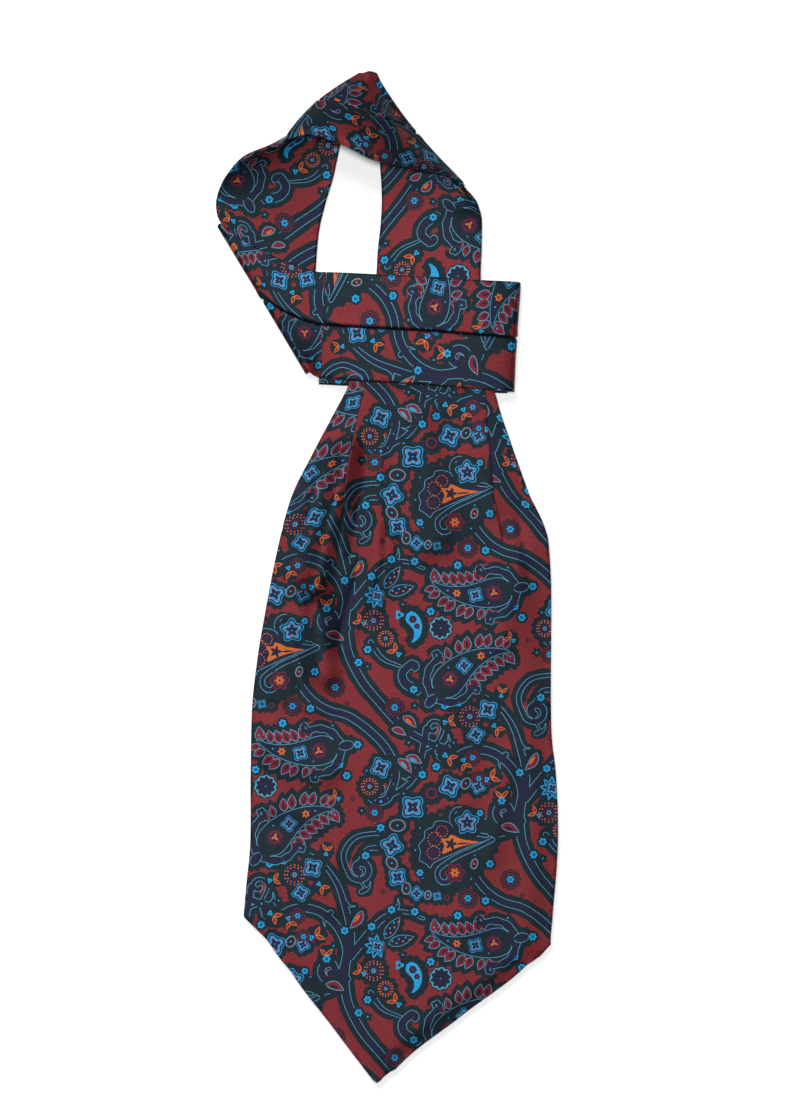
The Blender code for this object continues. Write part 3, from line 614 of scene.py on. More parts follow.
def trumpet():  # a bell flower that opens towards -X from its stem at the origin
    bell = smoothLine([(0, 0.6), (-9, 2.2), (-17, 6.4), (-23, 9.6), (-28, 9.8), (-29.6, 7.4),
                       (-33.6, 5.4), (-34.4, 1.6), (-37.2, -1.4), (-36.6, -5.4), (-37.4, -9.0),
                       (-34.4, -11.2), (-32.0, -13.4), (-29.6, -10.8), (-20.0, -7.0), (-9.0, -3.0),
                       (0, -0.8)], 1.7)
    halo = smoothLine([(3, 4), (-7, 13), (-17, 16.5), (-27, 14), (-37, 9), (-40.5, 0), (-41, -11), (-37, -17),
                       (-34, -24), (-25, -27.5), (-13, -22.5), (-5, -15), (2, -5)], 2.6)
    made = [(2, "teal", scalloped(halo, 0.2, 4.4, 1.5))] + edged(3, bell, "navy")
    heart = smoothLine([(-7, -1.6), (-15, 0.0), (-20.6, 2.6), (-22.4, 0.9), (-25.6, 0.6), (-24.4, -2.6),
                        (-25.4, -6.6), (-18, -4.0), (-7.4, -1.9)], 1.5)
    made += [(4, "orange", heart), (5, "navy", blob(2.3, 5, 0.42, 20) + np.array([-21.0, -2.0])),
             (5, "navy", petal(8.0, 0.9, 5) + np.array([-19.0, -2.1]))]
    for x, y, r in ((-29.0, 1.0, 3.4), (-30.0, -5.8, 3.2), (-25.2, 4.6, 2.8)):
        made += [dot(4.6, "orange", x + r * math.cos(a), y + r * math.sin(a), 0.36)
                 for a in np.arange(13) * 2 * math.pi / 13]
        made.append((4.6, "purple", blob(r * 0.52, 7, 0.12, 21) + np.array([x, y])))
    for points, curl, half in (([(-3, 1.0), (-9, 2.4), (-15.4, 4.0), (-19.0, 7.5)], (-1, 6.0, 0.62), 1.5),
                               ([(0, -1.0), (-9, -4.8), (-19, -8.6), (-27, -13.4)], (1, 5.2, 0.72), 1.7)):
        made += vine(points, half, (0.7, 0.9), curl=curl, level=2.4, halo=0.6)
    made += moved(floret(5.4, 5), -12.3, 8.2, 0.3, up=2.0) + moved(tinyFloret(1.5), -5.6, 12.6, up=2.0)
    made += moved([(4, "navy", blob(4.9, 6, 0.14, 36)), (5, "leaf", blob(4.4, 6, 0.16, 36)),
                   (5.2, "teal", blob(3.8, 6, 0.16, 36)), (6, "leaf", blob(2.9, 6, 0.1, 30)),
                   (6.2, "orange", blob(1.9, 6, 0.3, 24)), (7, "navy", blob(0.6, points=8))], -20.0, -16.4)
    made += moved(oval(2.8, 1.9, "orange")[1:], -10.0, -12.6, 1.2, up=2.0)
    made += moved(tinyFloret(1.6), -37.4, -15.4, up=2.0)
    for x, y in ((-36, 7), (-39, -4), (-12, -20), (-9.6, -8.4), (-3, 9.6), (-27, -22)):
        made.append(dot(5, "cyan", x, y))
    return made


def chain():  # florets and ovals in a bow
    made = []
    for kind, size, x, y in (
            ("floret", 5.0, 31.6, 70.2), ("oval", 3.2, 39.6, 71.6), ("floret", 3.4, 45.6, 70.0),
            ("dark", 4.6, 22.4, 66.6), ("floret", 5.6, 13.0, 59.8), ("oval", 4.2, 5.4, 50.6),
            ("floret", 5.2, 2.6, 40.6), ("oval", 3.6, 2.6, 31.8), ("floret", 4.4, 5.4, 24.8),
            ("oval", 3.2, 9.8, 19.2), ("floret", 3.3, 15.0, 16.6), ("oval", 2.4, 20.6, 15.8),
            ("floret", 2.2, 25.2, 15.2), ("dark", 2.3, 30.0, 14.4)):
        if kind == "floret":
            made += moved(floret(size, eyes=3 if size > 3 else 1), x, y, 0.3 + 0.4 * x)
        elif kind == "oval":
            made += moved(oval(size, size * 0.76), x, y, 0.6 + 0.05 * y)
        else:
            made += moved([(2, "teal", scalloped(blob(size, points=20), 0.8, 3.4, 0.8)),
                           (3, "leaf", blob(size * 0.62, points=20)),
                           (4, "navy", blob(size * 0.46, points=18))], x, y)
    return made


def sprig():  # two dotted leaves and a fan of small blue loops
    made = []
    for turn in (0.75, 0.08):
        leaf = petal(13.5, 5.6, 11)
        made += moved([(2, "teal", scalloped(leaf, 1.9, 3.6, 0.8))] + edged(3, leaf, "navy"),
                      5.0 * math.cos(turn), 5.0 * math.sin(turn), turn)
        for k in range(6):
            x, y = rotated([[7.4 + 1.7 * k, 0.8 * (-1) ** k]], turn)[0]
            made.append(dot(4, "orange" if k % 2 else "cyan", x, y, 0.5))
    for k in range(6):
        loop = petal(6.2, 2.8, 8)
        made += moved([(2, "teal", scalloped(loop, 1.6, 3.0, 0.5)), (3, "cyan", loop),
                       (4, "navy", inset(loop, 0.62))], -1.0, 0.3, 1.35 + 0.72 * k)
    return made + moved(floret(3.4)[1:], -0.6, 0.3, 0.4, up=2.0)


def dottedFlower(r=6.0):
    made = [(2, "teal", scalloped(blob(r, points=24), 1.3, 3.4, 1.0)),
            (3, "navy", blob(r * 0.92, 9, 0.05, 36))]
    for ring, count in ((0.80, 16), (0.60, 12)):
        made += [dot(4, "orange", r * ring * math.cos(a), r * ring * math.sin(a), 0.40)
                 for a in np.arange(count) * 2 * math.pi / count]
    return made + [(4, "purple", blob(r * 0.40, 7, 0.15, 28)), (5, "line", blob(r * 0.19, 6, 0.3, 18)),
                   (6, "navy", blob(r * 0.09, points=6))]


def blueBoteh():  # a small bright drop with two dark eyes
    share = np.linspace(0.0, 1.0, 18)
    heading = 2.1 * (1.0 - share) ** 1.3 - 0.5
    spine = steered(heading, 1.02)
    body = ribbon(spine, 4.3 * (0.06 + share ** 0.95) * np.sqrt(1.0001 - share ** 6), False)
    made = [(2, "teal", scalloped(body, 3.0, 4.0, 0.8)), (3, "cyan", body)]
    for i, r in ((13, 1.9), (9, 1.4)):
        made += moved([(4, "navy", blob(r, 6, 0.14, 24)), (5, "leaf", blob(r * 0.4, points=7))] +
                      [dot(4, "orange", r * 1.35 * math.cos(a), r * 1.35 * math.sin(a), 0.26)
                       for a in (1, 2, 4, 5.2)], *spine[i])
    end = spine[-1]
    bead = [(3, "cyan", blob(1.9, 3, 0.3, 18)), (4, "navy", blob(0.8, points=8))]
    return made + moved(bead, end[0] + 1.6, end[1] - 3.2)


repeat = dict(down=175.0, across=87.5, shift=79.0)  # half-drop: each column to the left sits lower


def drawVines():  # each vine, then the barbs on its edge
    made = vine([(69, 70), (67, 61), (66.5, 51), (68.5, 40), (75, 27), (84, 16), (94, 5), (106, -3),
                 (118, -7)], 2.5, (1.0, 0.7))
    made += hook(117, -7, 0.4, 1.3) + hook(96, 3.5, -0.8, 0.9, True)
    made += vine([(53, 45), (47, 40), (43.8, 32), (44.5, 25), (50, 17.8), (58, 12.5), (69, 9), (80, 1),
                  (88, -8), (92, -19), (89, -30)], 2.2, (0.8, 1.05), beads=5, curl=(-1, 6.0, 0.9))
    made += vine([(68, 53), (61, 47.5), (52, 44.8)], 1.7, (1.0, 0.6))
    made += vine([(44, -57.5), (54, -63), (62.5, -74), (67, -87), (69.5, -98), (69, -109)], 2.0, (0.35, 1.15))
    made += vine([(27, -90), (32, -92), (38.5, -88), (46, -86.5), (55, -89), (63.5, -97), (67.5, -108),
                  (65, -119)], 2.2, (1.0, 0.9), curl=(-1, 6.0, 1.2))
    made += hook(30, -91.5, 2.9, 1.2, True) + hook(57, -90.5, -2.6, 1.0) + hook(66, -84, -1.3, 1.1)
    made += vine([(69, 64), (74, 70), (79.5, 77), (87, 84), (96, 86.5), (106, 83)], 2.3, (1.0, 0.35))
    made += hook(92, 86.5, 0.4, 1.2)
    made += vine([(92, -50), (80, -49.5), (71, -52), (66, -60), (68.5, -69)], 2.1, (0.5, 1.0),
                 curl=(1, 6.0, 1.15))
    made += vine([(20, 99), (18, 88), (15.5, 78), (10, 70.5), (1, 65)], 1.9, (1.0, 0.7))
    made += hook(13, 74, -2.2, 1.0, True)
    made += vine([(-2, 39.5), (-10, 38.5), (-14, 31), (-13.5, 24), (-10, 18)], 1.4, (1.0, 0.5))
    made += hook(-10, 18, 0.2, 0.9)
    made += vine([(-8, -33), (-2, -41), (7, -45)], 1.6, (0.9, 0.5))
    made += vine([(15, -57), (9, -53), (8, -48), (12, -44)], 2.0, (1.25, 0.8), curl=(-1, 2.2, 0.5))
    return made + vine([(18.5, -87), (24, -84), (27.5, -78)], 1.5, (0.6, 0.9), curl=(1, 4.6, 0.95))


def drawCell():  # one repeat, placed as on the blade
    cell = drawVines() + moved(trumpet(), 53.0, 44.6, 0.06) + chain()
    for motif, *place in (  # x, y, turn, size, mirrored
            (boteh(42.0, 15.5, 1.0), 22.5, -2.5, 0.05, 1.0, True),
            (boteh(44.0, 16.5, 1.1), 61.5, -37.5, 3.83, 1.0, True),
            (rosette(5.1), 40.5, 14.2), (rosette(5.1), 61.8, 23.6), (rosette(5.0), 4.0, -65.5),
            (rosette(4.6), -6.0, 57.0), (rosette(4.0), 46.0, -101.0), (daisy(), 27.0, -25.8, 0.2),
            (blueBoteh(), 12.5, -33.0, 2.1, 1.0, True), (sprig(), -4.0, -10.0, 0.2),
            (dottedFlower(6.0), -6.5, -22.0), (dottedFlower(4.6), -0.5, -31.0),
            (dottedFlower(6.2), 41.5, -70.0), (floret(4.6), 50.5, -66.5, 0.6),
            (floret(4.0), 44.6, -79.0, 0.2),
            (leafDrop(9, 4.2), 8.0, -69.8, -0.7), (leafDrop(8, 3.6, "leaf"), 2.5, -76.0, -0.45),
            (leafDrop(9.0, 4.2, "cyan"), 9.5, -90.0, -0.4), (leafDrop(10.0, 4.6, "teal"), 57.0, 50.5, -0.35),
            (leafDrop(11, 4.6), -12.0, 8.0, -2.2), (bud(), 31.0, -72.5, 0.2), (bud(1.1), 4.5, -37.5, 2.4),
            (bud(), 55.0, -76.0, -0.8), (bud(0.9), 57.5, -58.0, 1.4), (bud(), 39.0, -93.5, -1.2),
            (bud(1.2), 52.0, -100.5, 0.4), (bud(1.1), 57.5, -110.5, 1.6), (bud(), 74.5, 56.5, 2.6),
            (bud(), 62.0, -31.0, 2.5, 0.9), (bud(1.1), 31.0, 84.5, -0.6), (floret(4.8), -3.0, 79.5, 0.4),
            (dottedFlower(5.0), -8.5, 70.0), (leafDrop(10, 4.4, "line"), 5.5, 84.0, -0.8),
            (rosette(4.2), 43.0, 84.5)):
        cell += moved(motif, *place)
    for x, y in (
            (49.4, 13.0), (35.5, 5.6), (51.6, 31.4), (17.8, 76.0), (22.0, -17.5), (67.5, -20.5),
            (64.0, -15.0), (-3.0, 49.5), (24.8, -95.0), (73.5, 36.0), (78.0, 42.5), (13.5, -56.5), (29.0, -64.5),
            (36.0, -63.0), (57.5, 63.0), (66.5, 77.0), (77.0, -60.5), (14.0, 7.5), (2.5, 8.5), (-7.5, 0.0),
            (73.0, -5.0)):
        cell += moved(tinyFloret(1.8), x, y, 0.2 * x)
    for x, y in ((67.8, 15.6), (51.0, 71.5), (54.5, -17.5), (20.5, -60.5), (27.0, 56.0), (70.5, -32.0),
                 (46.0, 5.5), (-2.0, 17.5)):
        cell += moved([(2, "teal", blob(1.3, points=12)), (3, "leaf", blob(0.8, points=10)),
                       (4, "teal", blob(0.36, points=6))], x, y)
    for x, y in (
            (8.5, 66.5), (18.0, 24.5), (-9.5, -45.0), (60.5, 4.5), (75.0, -38.0), (31.0, 0.5), (8.0, -14.0),
            (61.0, 69.5), (14.0, -64.5), (77.5, -18.0), (33.5, -83.0), (11.0, 92.0), (25.0, 90.5)):
        cell += moved([(2, "teal", blob(2.2, 5, 0.22, 25)), dot(3, "cyan", 0, 0, 0.5)], x, y, x)
    return cell


def drawPrint(low, high, turn=0.0, shift=(0.0, 0.0)):  # the repeats that reach a region of cloth
    steps = np.array([[c * repeat["across"], c * repeat["shift"] + r * repeat["down"]]
                      for c in range(-9, 10) for r in range(-6, 7)])
    steps = rotated(steps, turn) + np.asarray(shift)
    found = []
    for level, ink, xy in cellShapes:
        here = rotated(xy, turn)
        reach = ((here.max(0) + steps > low) & (here.min(0) + steps < high)).all(1)
        found += [(level, inkNames.index(ink), here + step) for step in steps[reach]]
    found.sort(key=lambda shape: shape[0])
    return found


# Cloth from a flat region, its print and a surface
def loopArea(xy):
    after = np.roll(xy, -1, 0)
    return 0.5 * float((xy[:, 0] * after[:, 1] - after[:, 0] * xy[:, 1]).sum())


def windsRound(loop, points):  # which points a loop goes round
    wind = np.zeros(len(points), int)
    x, y = points[:, 0], points[:, 1]
    for (ax, ay), (bx, by) in zip(loop, np.roll(loop, -1, 0)):
        side = (bx - ax) * (y - ay) - (by - ay) * (x - ax)
        wind += ((ay <= y) & (by > y) & (side > 0)).astype(int)
        wind -= ((ay > y) & (by <= y) & (side < 0)).astype(int)
    return wind != 0


def topShape(centres, origin, loops):  # the highest shape over each triangle
    claims = [(k, shape) for k, sources in enumerate(origin) for shape in sources]
    triangle, shape = np.array(claims).T
    low, high = (np.array([edge(loop, axis=0) for loop in loops]) for edge in (np.min, np.max))
    inside = ((centres[triangle] >= low[shape]) & (centres[triangle] <= high[shape])).all(1)
    crossed = np.unique(shape[~inside])  # loops that cross themselves are tested point by point
    good = ~np.isin(shape, crossed)
    top = np.full(len(centres), -1)
    np.maximum.at(top, triangle[good], shape[good])
    for k in crossed:
        near = np.nonzero(((centres >= low[k]) & (centres <= high[k])).all(1))[0]
        hit = near[windsRound(loops[k], centres[near])]
        top[hit] = np.maximum(top[hit], k)
    top[np.setdiff1d(np.arange(len(centres)), triangle[shape == 0])] = -1
    return top


sheetMesh = dict(leastArea=0.02, mergeWithin=1e-4)


def printedSheet(name, region, shapes, extraLines, surface, gridStep):
    low, high = region.min(0), region.max(0)
    verts, edges, faces, inkOf = [Vector(p) for p in region], [], [list(range(len(region)))], [0]
    loops = [region]
    if loopArea(region) < 0:
        faces[0].reverse()
    for _, ink, xy in shapes:
        start = len(verts)
        area = loopArea(xy)
        if abs(area) < sheetMesh["leastArea"]:
            continue
        verts += [Vector(p) for p in xy]
        loop = list(range(start, start + len(xy)))
        faces.append(loop if area > 0 else loop[::-1])
        loops.append(xy)
        inkOf.append(ink)
    nx, ny = (max(2, int((high[k] - low[k]) / gridStep)) for k in (0, 1))
    gx, gy = np.meshgrid(*(np.linspace(low[k], high[k], n + 1)[1:-1] for k, n in ((0, nx), (1, ny))))
    gx = gx + (np.arange(gx.shape[0]) % 2)[:, None] * gridStep * 0.5
    verts += [Vector(p) for p in np.stack([gx.ravel(), gy.ravel()], 1)]
    for line in extraLines:
        start = len(verts)
        verts += [Vector(p) for p in line]
        edges += [(k, k + 1) for k in range(start, start + len(line) - 1)]
    drawn = delaunay_2d_cdt(verts, edges, faces, 0, sheetMesh["mergeWithin"], True)
    outVerts, _, outFaces, _, _, origin = drawn
    xy, outFaces = np.array([tuple(v) for v in outVerts]), np.array(outFaces)
    top = topShape(xy[outFaces].mean(1), origin, loops)
    colour = np.array(inkOf)[top[top >= 0]]
    used, kept = np.unique(outFaces[top >= 0], return_inverse=True)
    kept = kept.reshape(-1, 3)
    xy = xy[used]
    place = surface(xy[:, 0], xy[:, 1])
    print(name, len(shapes), "shapes", len(kept), "triangles")
    return xy, place, kept, colour


def makeMesh(name, xy, place, triangles, colour, material):
    mesh = bpy.data.meshes.new(name)
    mesh.vertices.add(len(place))
    mesh.vertices.foreach_set("co", ((place - settled) * mm).ravel())
    mesh.loops.add(triangles.size)
    mesh.loops.foreach_set("vertex_index", triangles.ravel())
    mesh.polygons.add(len(triangles))
    mesh.polygons.foreach_set("loop_start", np.arange(0, triangles.size, 3))
    mesh.update(calc_edges=True)
    layer = mesh.uv_layers.new(name="cloth")
    layer.data.foreach_set("uv", (xy[triangles.ravel()] * mm).ravel())
    table = np.array([inks[ink] + (1.0,) for ink in inkNames])
    tint = mesh.color_attributes.new("print", "FLOAT_COLOR", "CORNER")
    tint.data.foreach_set("color", np.repeat(table[colour], 3, axis=0).ravel())
    mesh.validate()
    mesh.shade_smooth()
    mesh.materials.append(material)
    piece = bpy.data.objects.new(name, mesh)
    bpy.context.scene.collection.objects.link(piece)
    return piece


# Materials
silk = {  # what to change for another silk
    "shine": {"Metallic": 0.48, "Specular IOR Level": 0.08, "Sheen Weight": 0.05, "Sheen Roughness": 0.35},
    "slub": {"Scale": 1500.0, "Detail": 3.0},
    "slubDepth": {"From Min": 0.3, "From Max": 0.7, "To Min": 0.30, "To Max": 0.67},
    "dye": {"Scale": 28.0, "Detail": 4.0},
    "dyeDepth": {"To Min": 0.90, "To Max": 1.10},
    "gloss": {"To Min": 0.44, "To Max": 0.54},
    "twill": {"Scale": 1700.0, "Distortion": 0.6, "Detail": 1.0},
    "relief": {"Strength": 0.22, "Distance": 0.00012},
    "lining": (0.11, 0.012, 0.020)}


def addNode(tree, kind, values):
    node = tree.nodes.new(kind)
    for socket, value in values.items():
        node.inputs[socket].default_value = value
    return node


def combined(tree, operation, first, second):  # two values through a math node
    node = addNode(tree, "ShaderNodeMath", {})
    node.operation = operation
    tree.links.new(first, node.inputs[0])
    tree.links.new(second, node.inputs[1])
    return node.outputs[0]


def silkMaterial(name, plain=None):
    material = bpy.data.materials.new(name)
    material.use_nodes = True
    tree = material.node_tree
    shader = tree.nodes["Principled BSDF"]
    for socket, value in silk["shine"].items():  # silk throws back light in its own colour
        shader.inputs[socket].default_value = value
    cloth = addNode(tree, "ShaderNodeUVMap", {})
    cloth.uv_map = "cloth"
    position = addNode(tree, "ShaderNodeTexCoord", {})
    if plain is None:
        tint = addNode(tree, "ShaderNodeAttribute", {})
        tint.attribute_name = "print"
        colour = tint.outputs["Color"]
    else:
        flatTint = addNode(tree, "ShaderNodeRGB", {})
        flatTint.outputs[0].default_value = (*plain, 1.0)
        colour = flatTint.outputs[0]
    slub = addNode(tree, "ShaderNodeTexNoise", silk["slub"])  # uneven yarn
    slubDepth = addNode(tree, "ShaderNodeMapRange", silk["slubDepth"])
    dye = addNode(tree, "ShaderNodeTexNoise", silk["dye"])  # slow change of depth in the dye
    dyeDepth = addNode(tree, "ShaderNodeMapRange", silk["dyeDepth"])
    gloss = addNode(tree, "ShaderNodeMapRange", silk["gloss"])
    tree.links.new(cloth.outputs["UV"], slub.inputs["Vector"])
    tree.links.new(slub.outputs["Fac"], slubDepth.inputs["Value"])
    tree.links.new(position.outputs["Object"], dye.inputs["Vector"])
    tree.links.new(dye.outputs["Fac"], dyeDepth.inputs["Value"])
    tree.links.new(dye.outputs["Fac"], gloss.inputs["Value"])
    tree.links.new(gloss.outputs["Result"], shader.inputs["Roughness"])
    shaded = addNode(tree, "ShaderNodeVectorMath", {})
    shaded.operation = "SCALE"
    depth = combined(tree, "MULTIPLY", slubDepth.outputs["Result"], dyeDepth.outputs["Result"])
    tree.links.new(colour, shaded.inputs[0])
    tree.links.new(depth, shaded.inputs["Scale"])
    tree.links.new(shaded.outputs["Vector"], shader.inputs["Base Color"])
    twill = addNode(tree, "ShaderNodeTexWave", silk["twill"])  # the weave's fine diagonal ribs
    twill.wave_type = "BANDS"
    twill.bands_direction = "DIAGONAL"
    tree.links.new(cloth.outputs["UV"], twill.inputs["Vector"])
    relief = addNode(tree, "ShaderNodeBump", silk["relief"])
    height = combined(tree, "ADD", twill.outputs["Fac"], slub.outputs["Fac"])
    tree.links.new(height, relief.inputs["Height"])
    tree.links.new(relief.outputs["Normal"], shader.inputs["Normal"])
    return material


printedSilk = silkMaterial("printedSilk")
liningSilk = silkMaterial("liningSilk", silk["lining"])
print("two silks are ready")


# Pieces
def finishPiece(piece, node):
    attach(piece, "root")
    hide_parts(node)


bandSheet = dict(
    seamShadeNear=0.4, seamShadeFar=0.34, printShift=40.0, gridStep=2.8, alongStep=2.5, leastStep=0.12, edgeRoom=0.02,
    crisp=(0.7, 1.4, 2.4, 24.6, 25.5, 26.25, 27.0, 27.9, 77.1, 78.0, 78.75, 79.5, 80.4, 102.6, 103.6, 104.3))


def rowLines(stretch, v):  # lines along and across the tube, so that its edges and folds stay crisp
    lines = []
    ends = stretch["q"][0], stretch["q"][-1]
    rowsAlong = np.linspace(*ends, 6 * len(stretch["rows"]))[1:-1]
    for at in bandSheet["crisp"]:
        u, _ = roundTube(np.array([at]))
        low, high = (acrossRow(stretch, q, u)[0] for q in ends)
        even = np.linspace(low + 0.05, high - 0.05, max(3, int((high - low) / bandSheet["alongStep"])))
        x = np.sort(np.concatenate([even, [acrossRow(stretch, q, u)[0] for q in rowsAlong]]))
        x = x[np.concatenate([[True], np.diff(x) > bandSheet["leastStep"]])]
        lines.append(np.stack([x, np.full(len(x), at)], 1))
    u, _ = roundTube(v)
    inside = np.clip(v, bandSheet["edgeRoom"], 2 * stripWidth - bandSheet["edgeRoom"])
    for q in [*np.arange(0.5, len(stretch["rows"]) - 1.0, 0.5), *foldBreaks(stretch)]:
        lines.append(np.stack([acrossRow(stretch, q, u), inside], 1))
    return lines


def buildBand(name, stretch, start):
    stripLayout(stretch)
    around, edgeA, edgeB = 2 * stripWidth, stripWidth / 2, 3 * stripWidth / 2
    v = np.concatenate([np.linspace(0, edgeA, 8), np.linspace(edgeA, edgeB, 15)[1:],
                        np.linspace(edgeB, around, 8)[1:]])
    u, _ = roundTube(v)
    near, far = (acrossRow(stretch, stretch["q"][end], u) for end in (0, -1))
    region = np.vstack([np.stack([near, v], 1), np.stack([far, v], 1)[::-1]])
    low, high = region.min(0), region.max(0)
    shapes = drawPrint(low - 1, high + 1, math.pi / 2, (-start, bandSheet["printShift"]))
    left, right = low[0] - 1, high[0] + 1
    # Near-black strips over the seam's two edges, above all the print: painted shade in the seam's gap
    for under, over in ((-bandSheet["seamShadeNear"], bandSheet["seamShadeFar"]),
                        (around - bandSheet["seamShadeFar"], around + bandSheet["seamShadeNear"])):
        corners = np.array([[left, under], [right, under], [right, over], [left, over]])
        shapes.append((99, inkNames.index("seam"), corners))

    def surface(x, at):
        return bandSurface(stretch, x, at)

    sheet = printedSheet(name, region, shapes, rowLines(stretch, v), surface, bandSheet["gridStep"])
    piece = makeMesh(name, *sheet, printedSilk)
    facesOut(piece, stretch)
    length = float(np.mean(far - near))
    finishPiece(piece, stretch["node"])
    return length


def facesOut(piece, stretch):  # the side away from the tube's middle shows
    mesh = piece.data
    normals = np.zeros(len(mesh.polygons) * 3)
    mesh.polygons.foreach_get("normal", normals)
    normals = normals.reshape(-1, 3)
    uv = np.zeros(len(mesh.loops) * 2)
    mesh.uv_layers["cloth"].data.foreach_get("uv", uv)
    flatCentres = uv.reshape(-1, 3, 2).mean(1) / mm
    u, side = roundTube(flatCentres[:, 1])
    _, _, normal = stretchFrame(stretch, rowAt(stretch, flatCentres[:, 0], u), np.clip(u, 0.05, 0.95))
    up = side * (1.0 if stretch["seamUp"] else -1.0)
    if np.sign((normals * normal).sum(1) * up).sum() < 0:
        mesh.flip_normals()


bladeTip = (-5.05, -252.9)
bladeSheet = dict(gridStep=3.0, besidePleat=(-1.6, -0.8, -0.3, 0.0, 0.3, 0.8), underPleat=(-0.6, 0.0, 0.6))
hemShape = dict(turnIn=1.3, radius=0.55)
backSheet = dict(gridStep=9.0, inset=0.9, peek=1.4, height=0.97, thickness=0.9)


def bladeRegion():  # the front panel's outline with its pleats opened
    y = np.concatenate([np.linspace(121.0, 10.0, 60), np.linspace(6.0, -170.0, 60),
                        np.linspace(-172.5, -251.6, 30)])
    left, right = bladeSides(y)
    spread = tuckDepth(y, right - left)
    leftLine = np.stack([left - 2 * spread, y], 1)
    rightLine = np.stack([right + 2 * spread, y], 1)[::-1]
    return np.vstack([leftLine, [bladeTip], rightLine])


def hem(piece):  # turns the cut edge down and under
    shape = bmesh.new()
    shape.from_mesh(piece.data)
    rim = [edge for edge in shape.edges if edge.is_boundary]
    outward = {}
    for edge in rim:
        centre = edge.link_faces[0].calc_center_median()
        direction = (edge.verts[1].co - edge.verts[0].co).normalized()
        away = (edge.verts[0].co + edge.verts[1].co) / 2 - centre
        away = away - direction * away.dot(direction)
        away.z = 0.0
        for vert in edge.verts:
            outward[vert] = outward.get(vert, Vector()) + away.normalized()
    radius = hemShape["radius"]
    steps = [(0.35 * radius, -0.30 * radius), (0.0, -radius), (-hemShape["turnIn"], -radius * 1.25)]
    current = {vert: vert for vert in outward}
    base = {vert: vert.co.copy() for vert in outward}
    for out, down in steps:
        made = bmesh.ops.extrude_edge_only(shape, edges=rim)["geom"]
        fresh = [item for item in made if isinstance(item, bmesh.types.BMVert)]
        rim = [item for item in made if isinstance(item, bmesh.types.BMEdge) and item.is_boundary]
        follow = {}
        for vert in fresh:
            for edge in vert.link_edges:
                other = edge.other_vert(vert)
                if other in current and other not in fresh:
                    follow[vert] = current[other]
        for vert, root in follow.items():
            vert.co = base[root] + outward[root].normalized() * out * mm + Vector((0, 0, down * mm))
        current = follow
    shape.to_mesh(piece.data)
    shape.free()
    piece.data.shade_smooth()


def buildBlade():
    region = bladeRegion()
    shapes = drawPrint(region.min(0) - 1, region.max(0) + 1)
    lines = []
    y = np.linspace(120.5, 18.0, 60)
    left, right = bladeSides(y)
    shares = downTable(pleats, y)
    depth = tuckDepth(y, right - left)
    for k, direction in ((0, -1.0), (1, 1.0)):
        pleatAt = left + (right - left) * shares[..., k]
        for q in bladeSheet["besidePleat"]:
            lines.append(np.stack([pleatAt + direction * q, y], 1))
        for q in bladeSheet["underPleat"]:
            lines.append(np.stack([pleatAt + direction * (np.maximum(depth, 1.6) + q), y], 1))
    sheet = printedSheet("bladeFront", region, shapes, lines, bladeSurface, bladeSheet["gridStep"])
    piece = makeMesh("bladeFront", *sheet, printedSilk)
    hem(piece)
    finishPiece(piece, "blade_front")


def backSurface(x, y):
    return np.stack([x, y, np.full_like(x, backSheet["height"])], -1)


def buildBack():
    y = np.concatenate([np.linspace(88.0, -184.0, 70), np.linspace(-187.0, -250.0, 22)])
    left, right = bladeSides(y)
    peek = smoothstep(-172.0, -184.0, y)
    left, right = left + backSheet["inset"], right - backSheet["inset"] + backSheet["peek"] * peek
    right = np.maximum(right, left + 0.8)
    region = np.vstack([np.stack([left, y], 1), np.stack([right, y], 1)[::-1]])
    sheet = printedSheet("bladeBack", region, [], [], backSurface, backSheet["gridStep"])
    piece = makeMesh("bladeBack", *sheet, liningSilk)
    thick = piece.modifiers.new("wall", "SOLIDIFY")
    thick.thickness = backSheet["thickness"] * mm
    thick.offset = -1.0
    finishPiece(piece, "blade_back")


cellShapes = drawCell()
print("one repeat of the print has", len(cellShapes), "shapes")
buildBlade()
buildBack()

rightRows = trimmed(loopRight, end=topRightFold)
topRows = trimmed(loopTop, start=topRightFold, end=topLeftFold)
leftRows = trimmed(loopLeft, start=topLeftFold, end=lowerLeftFold)
turnRows = trimmed(bandTurn, start=lowerLeftFold)
frontRows = trimmed(bandFront, end=rightEndFold)
returnRows = trimmed(bandReturn, start=rightEndFold)

stretches = [
    ("loopRight", dict(node="loop_right", rows=rightRows, seamUp=False, seamDepth=0.8,
                       seats=[(7, topRows, 0, topRightFold)]), "laid", ["blade_front"]),
    ("loopTop", dict(node="loop_top", rows=topRows, seamUp=True, seamDepth=0.9, lip=0.9,
                     apex=[(-1.0, -6.9, 251.3, 1.1), (-0.5, -6.0, 251.9, 2.3), (0.0, -6.9, 252.3, 3.4),
                           (3.0, -9.0, 252.5, 3.9), (6.0, -11.4, 251.7, 3.7), (6.5, -12.3, 251.3, 2.6),
                           (7.0, -11.9, 250.7, 1.4)],
                     corners=[(0.0, 0.9, 9.0, (-1.7, 1.0, -0.4))],
                     folds=[(0, topRightFold), (6, topLeftFold)]), "folded", ["loop_right", "loop_left"]),
    ("loopLeft", dict(node="loop_left", rows=leftRows, seamUp=False, seamDepth=0.8,
                      seats=[(0, topRows, 6, topLeftFold), (9, turnRows, 0, lowerLeftFold)]), "laid", []),
    ("bandTurn", dict(node="band_turn", rows=turnRows, seamUp=True, seamDepth=0.9,
                      folds=[(0, lowerLeftFold)]), "folded", ["loop_left"]),
    ("bandFront", dict(node="band_front", rows=frontRows, seamUp=True, seamDepth=0.9,
                       folds=[(6, rightEndFold)]), "folded", ["blade_front", "loop_right"]),
    ("bandReturn", dict(node="band_return", rows=returnRows, seamUp=False, seamDepth=0.6,
                        seats=[(0, frontRows, 6, rightEndFold)]), "laid", []),
]
runSoFar = 0.0
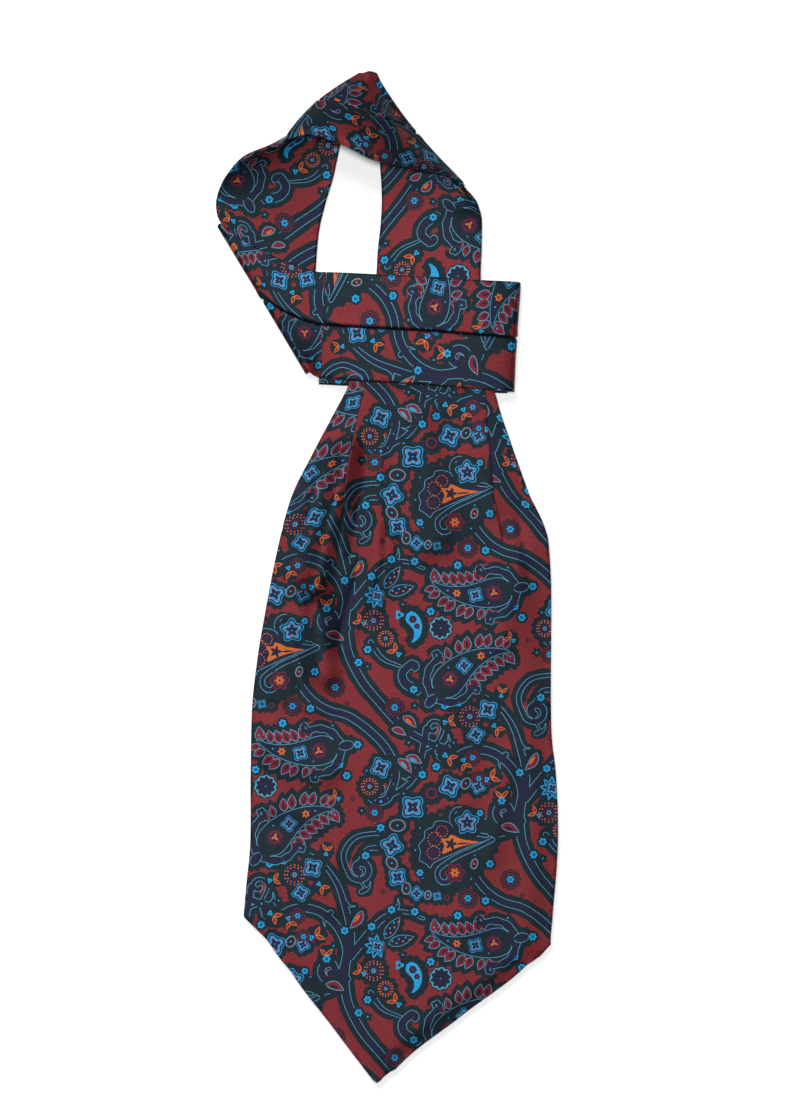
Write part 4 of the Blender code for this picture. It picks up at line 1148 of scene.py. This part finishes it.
for name, stretch, held, restsOn in stretches:
    runSoFar += buildBand(name, stretch, runSoFar)
print("neckband so far", round(runSoFar), "mm")

# Floor, light and camera, in metres, but for the picture's centre
stage = dict(floorSize=6.0, floorDrop=0.0004, floorGrey=0.67, cameraHeight=4.0, frameHeight=0.560,
             centre=(6.5, 8.25), roomLight=0.08)
# Each light's place, size and watts
lights = {"key": ((-0.15, 0.30, 4.30), 0.90, 225.0), "fill": ((-0.80, 1.85, 1.85), 1.20, 52.0)}


def makeStage():
    shape = bmesh.new()
    bmesh.ops.create_grid(shape, x_segments=1, y_segments=1, size=stage["floorSize"] / 2)
    mesh = bpy.data.meshes.new("floor")
    shape.to_mesh(mesh)
    shape.free()
    floor = bpy.data.objects.new("floor", mesh)
    floor.location = (0.0, 0.0, -stage["floorDrop"])
    bpy.context.scene.collection.objects.link(floor)
    paper = bpy.data.materials.new("paleFloor")
    paper.use_nodes = True
    shader = paper.node_tree.nodes["Principled BSDF"]
    shader.inputs["Base Color"].default_value = (*[stage["floorGrey"]] * 3, 1.0)
    shader.inputs["Roughness"].default_value = 0.9
    shader.inputs["Specular IOR Level"].default_value = 0.1
    mesh.materials.append(paper)


def areaLight(name, place, size, power):
    light = bpy.data.lights.new(name, "AREA")
    light.shape = "DISK"
    light.size = size
    light.energy = power
    lamp = bpy.data.objects.new(name, light)
    lamp.location = place
    lamp.rotation_euler = (-Vector(place)).to_track_quat("-Z", "Y").to_euler()
    bpy.context.scene.collection.objects.link(lamp)


makeStage()
for name, (place, size, power) in lights.items():
    areaLight(name, place, size, power)
world = bpy.data.worlds.new("softRoom")
world.use_nodes = True
world.node_tree.nodes["Background"].inputs["Color"].default_value = (1.0, 1.0, 1.0, 1.0)
world.node_tree.nodes["Background"].inputs["Strength"].default_value = stage["roomLight"]
bpy.context.scene.world = world
bpy.context.scene.view_settings.view_transform = "Standard"

lens = bpy.data.cameras.new("camera")
lens.sensor_width = 36.0
lens.lens = lens.sensor_width * stage["cameraHeight"] / stage["frameHeight"]
lens.clip_end = 20.0
camera = bpy.data.objects.new("camera", lens)
camera.location = (stage["centre"][0] * mm, stage["centre"][1] * mm, stage["cameraHeight"])
bpy.context.scene.collection.objects.link(camera)
bpy.context.scene.camera = camera
print("floor,", len(lights), "lights and camera are set")
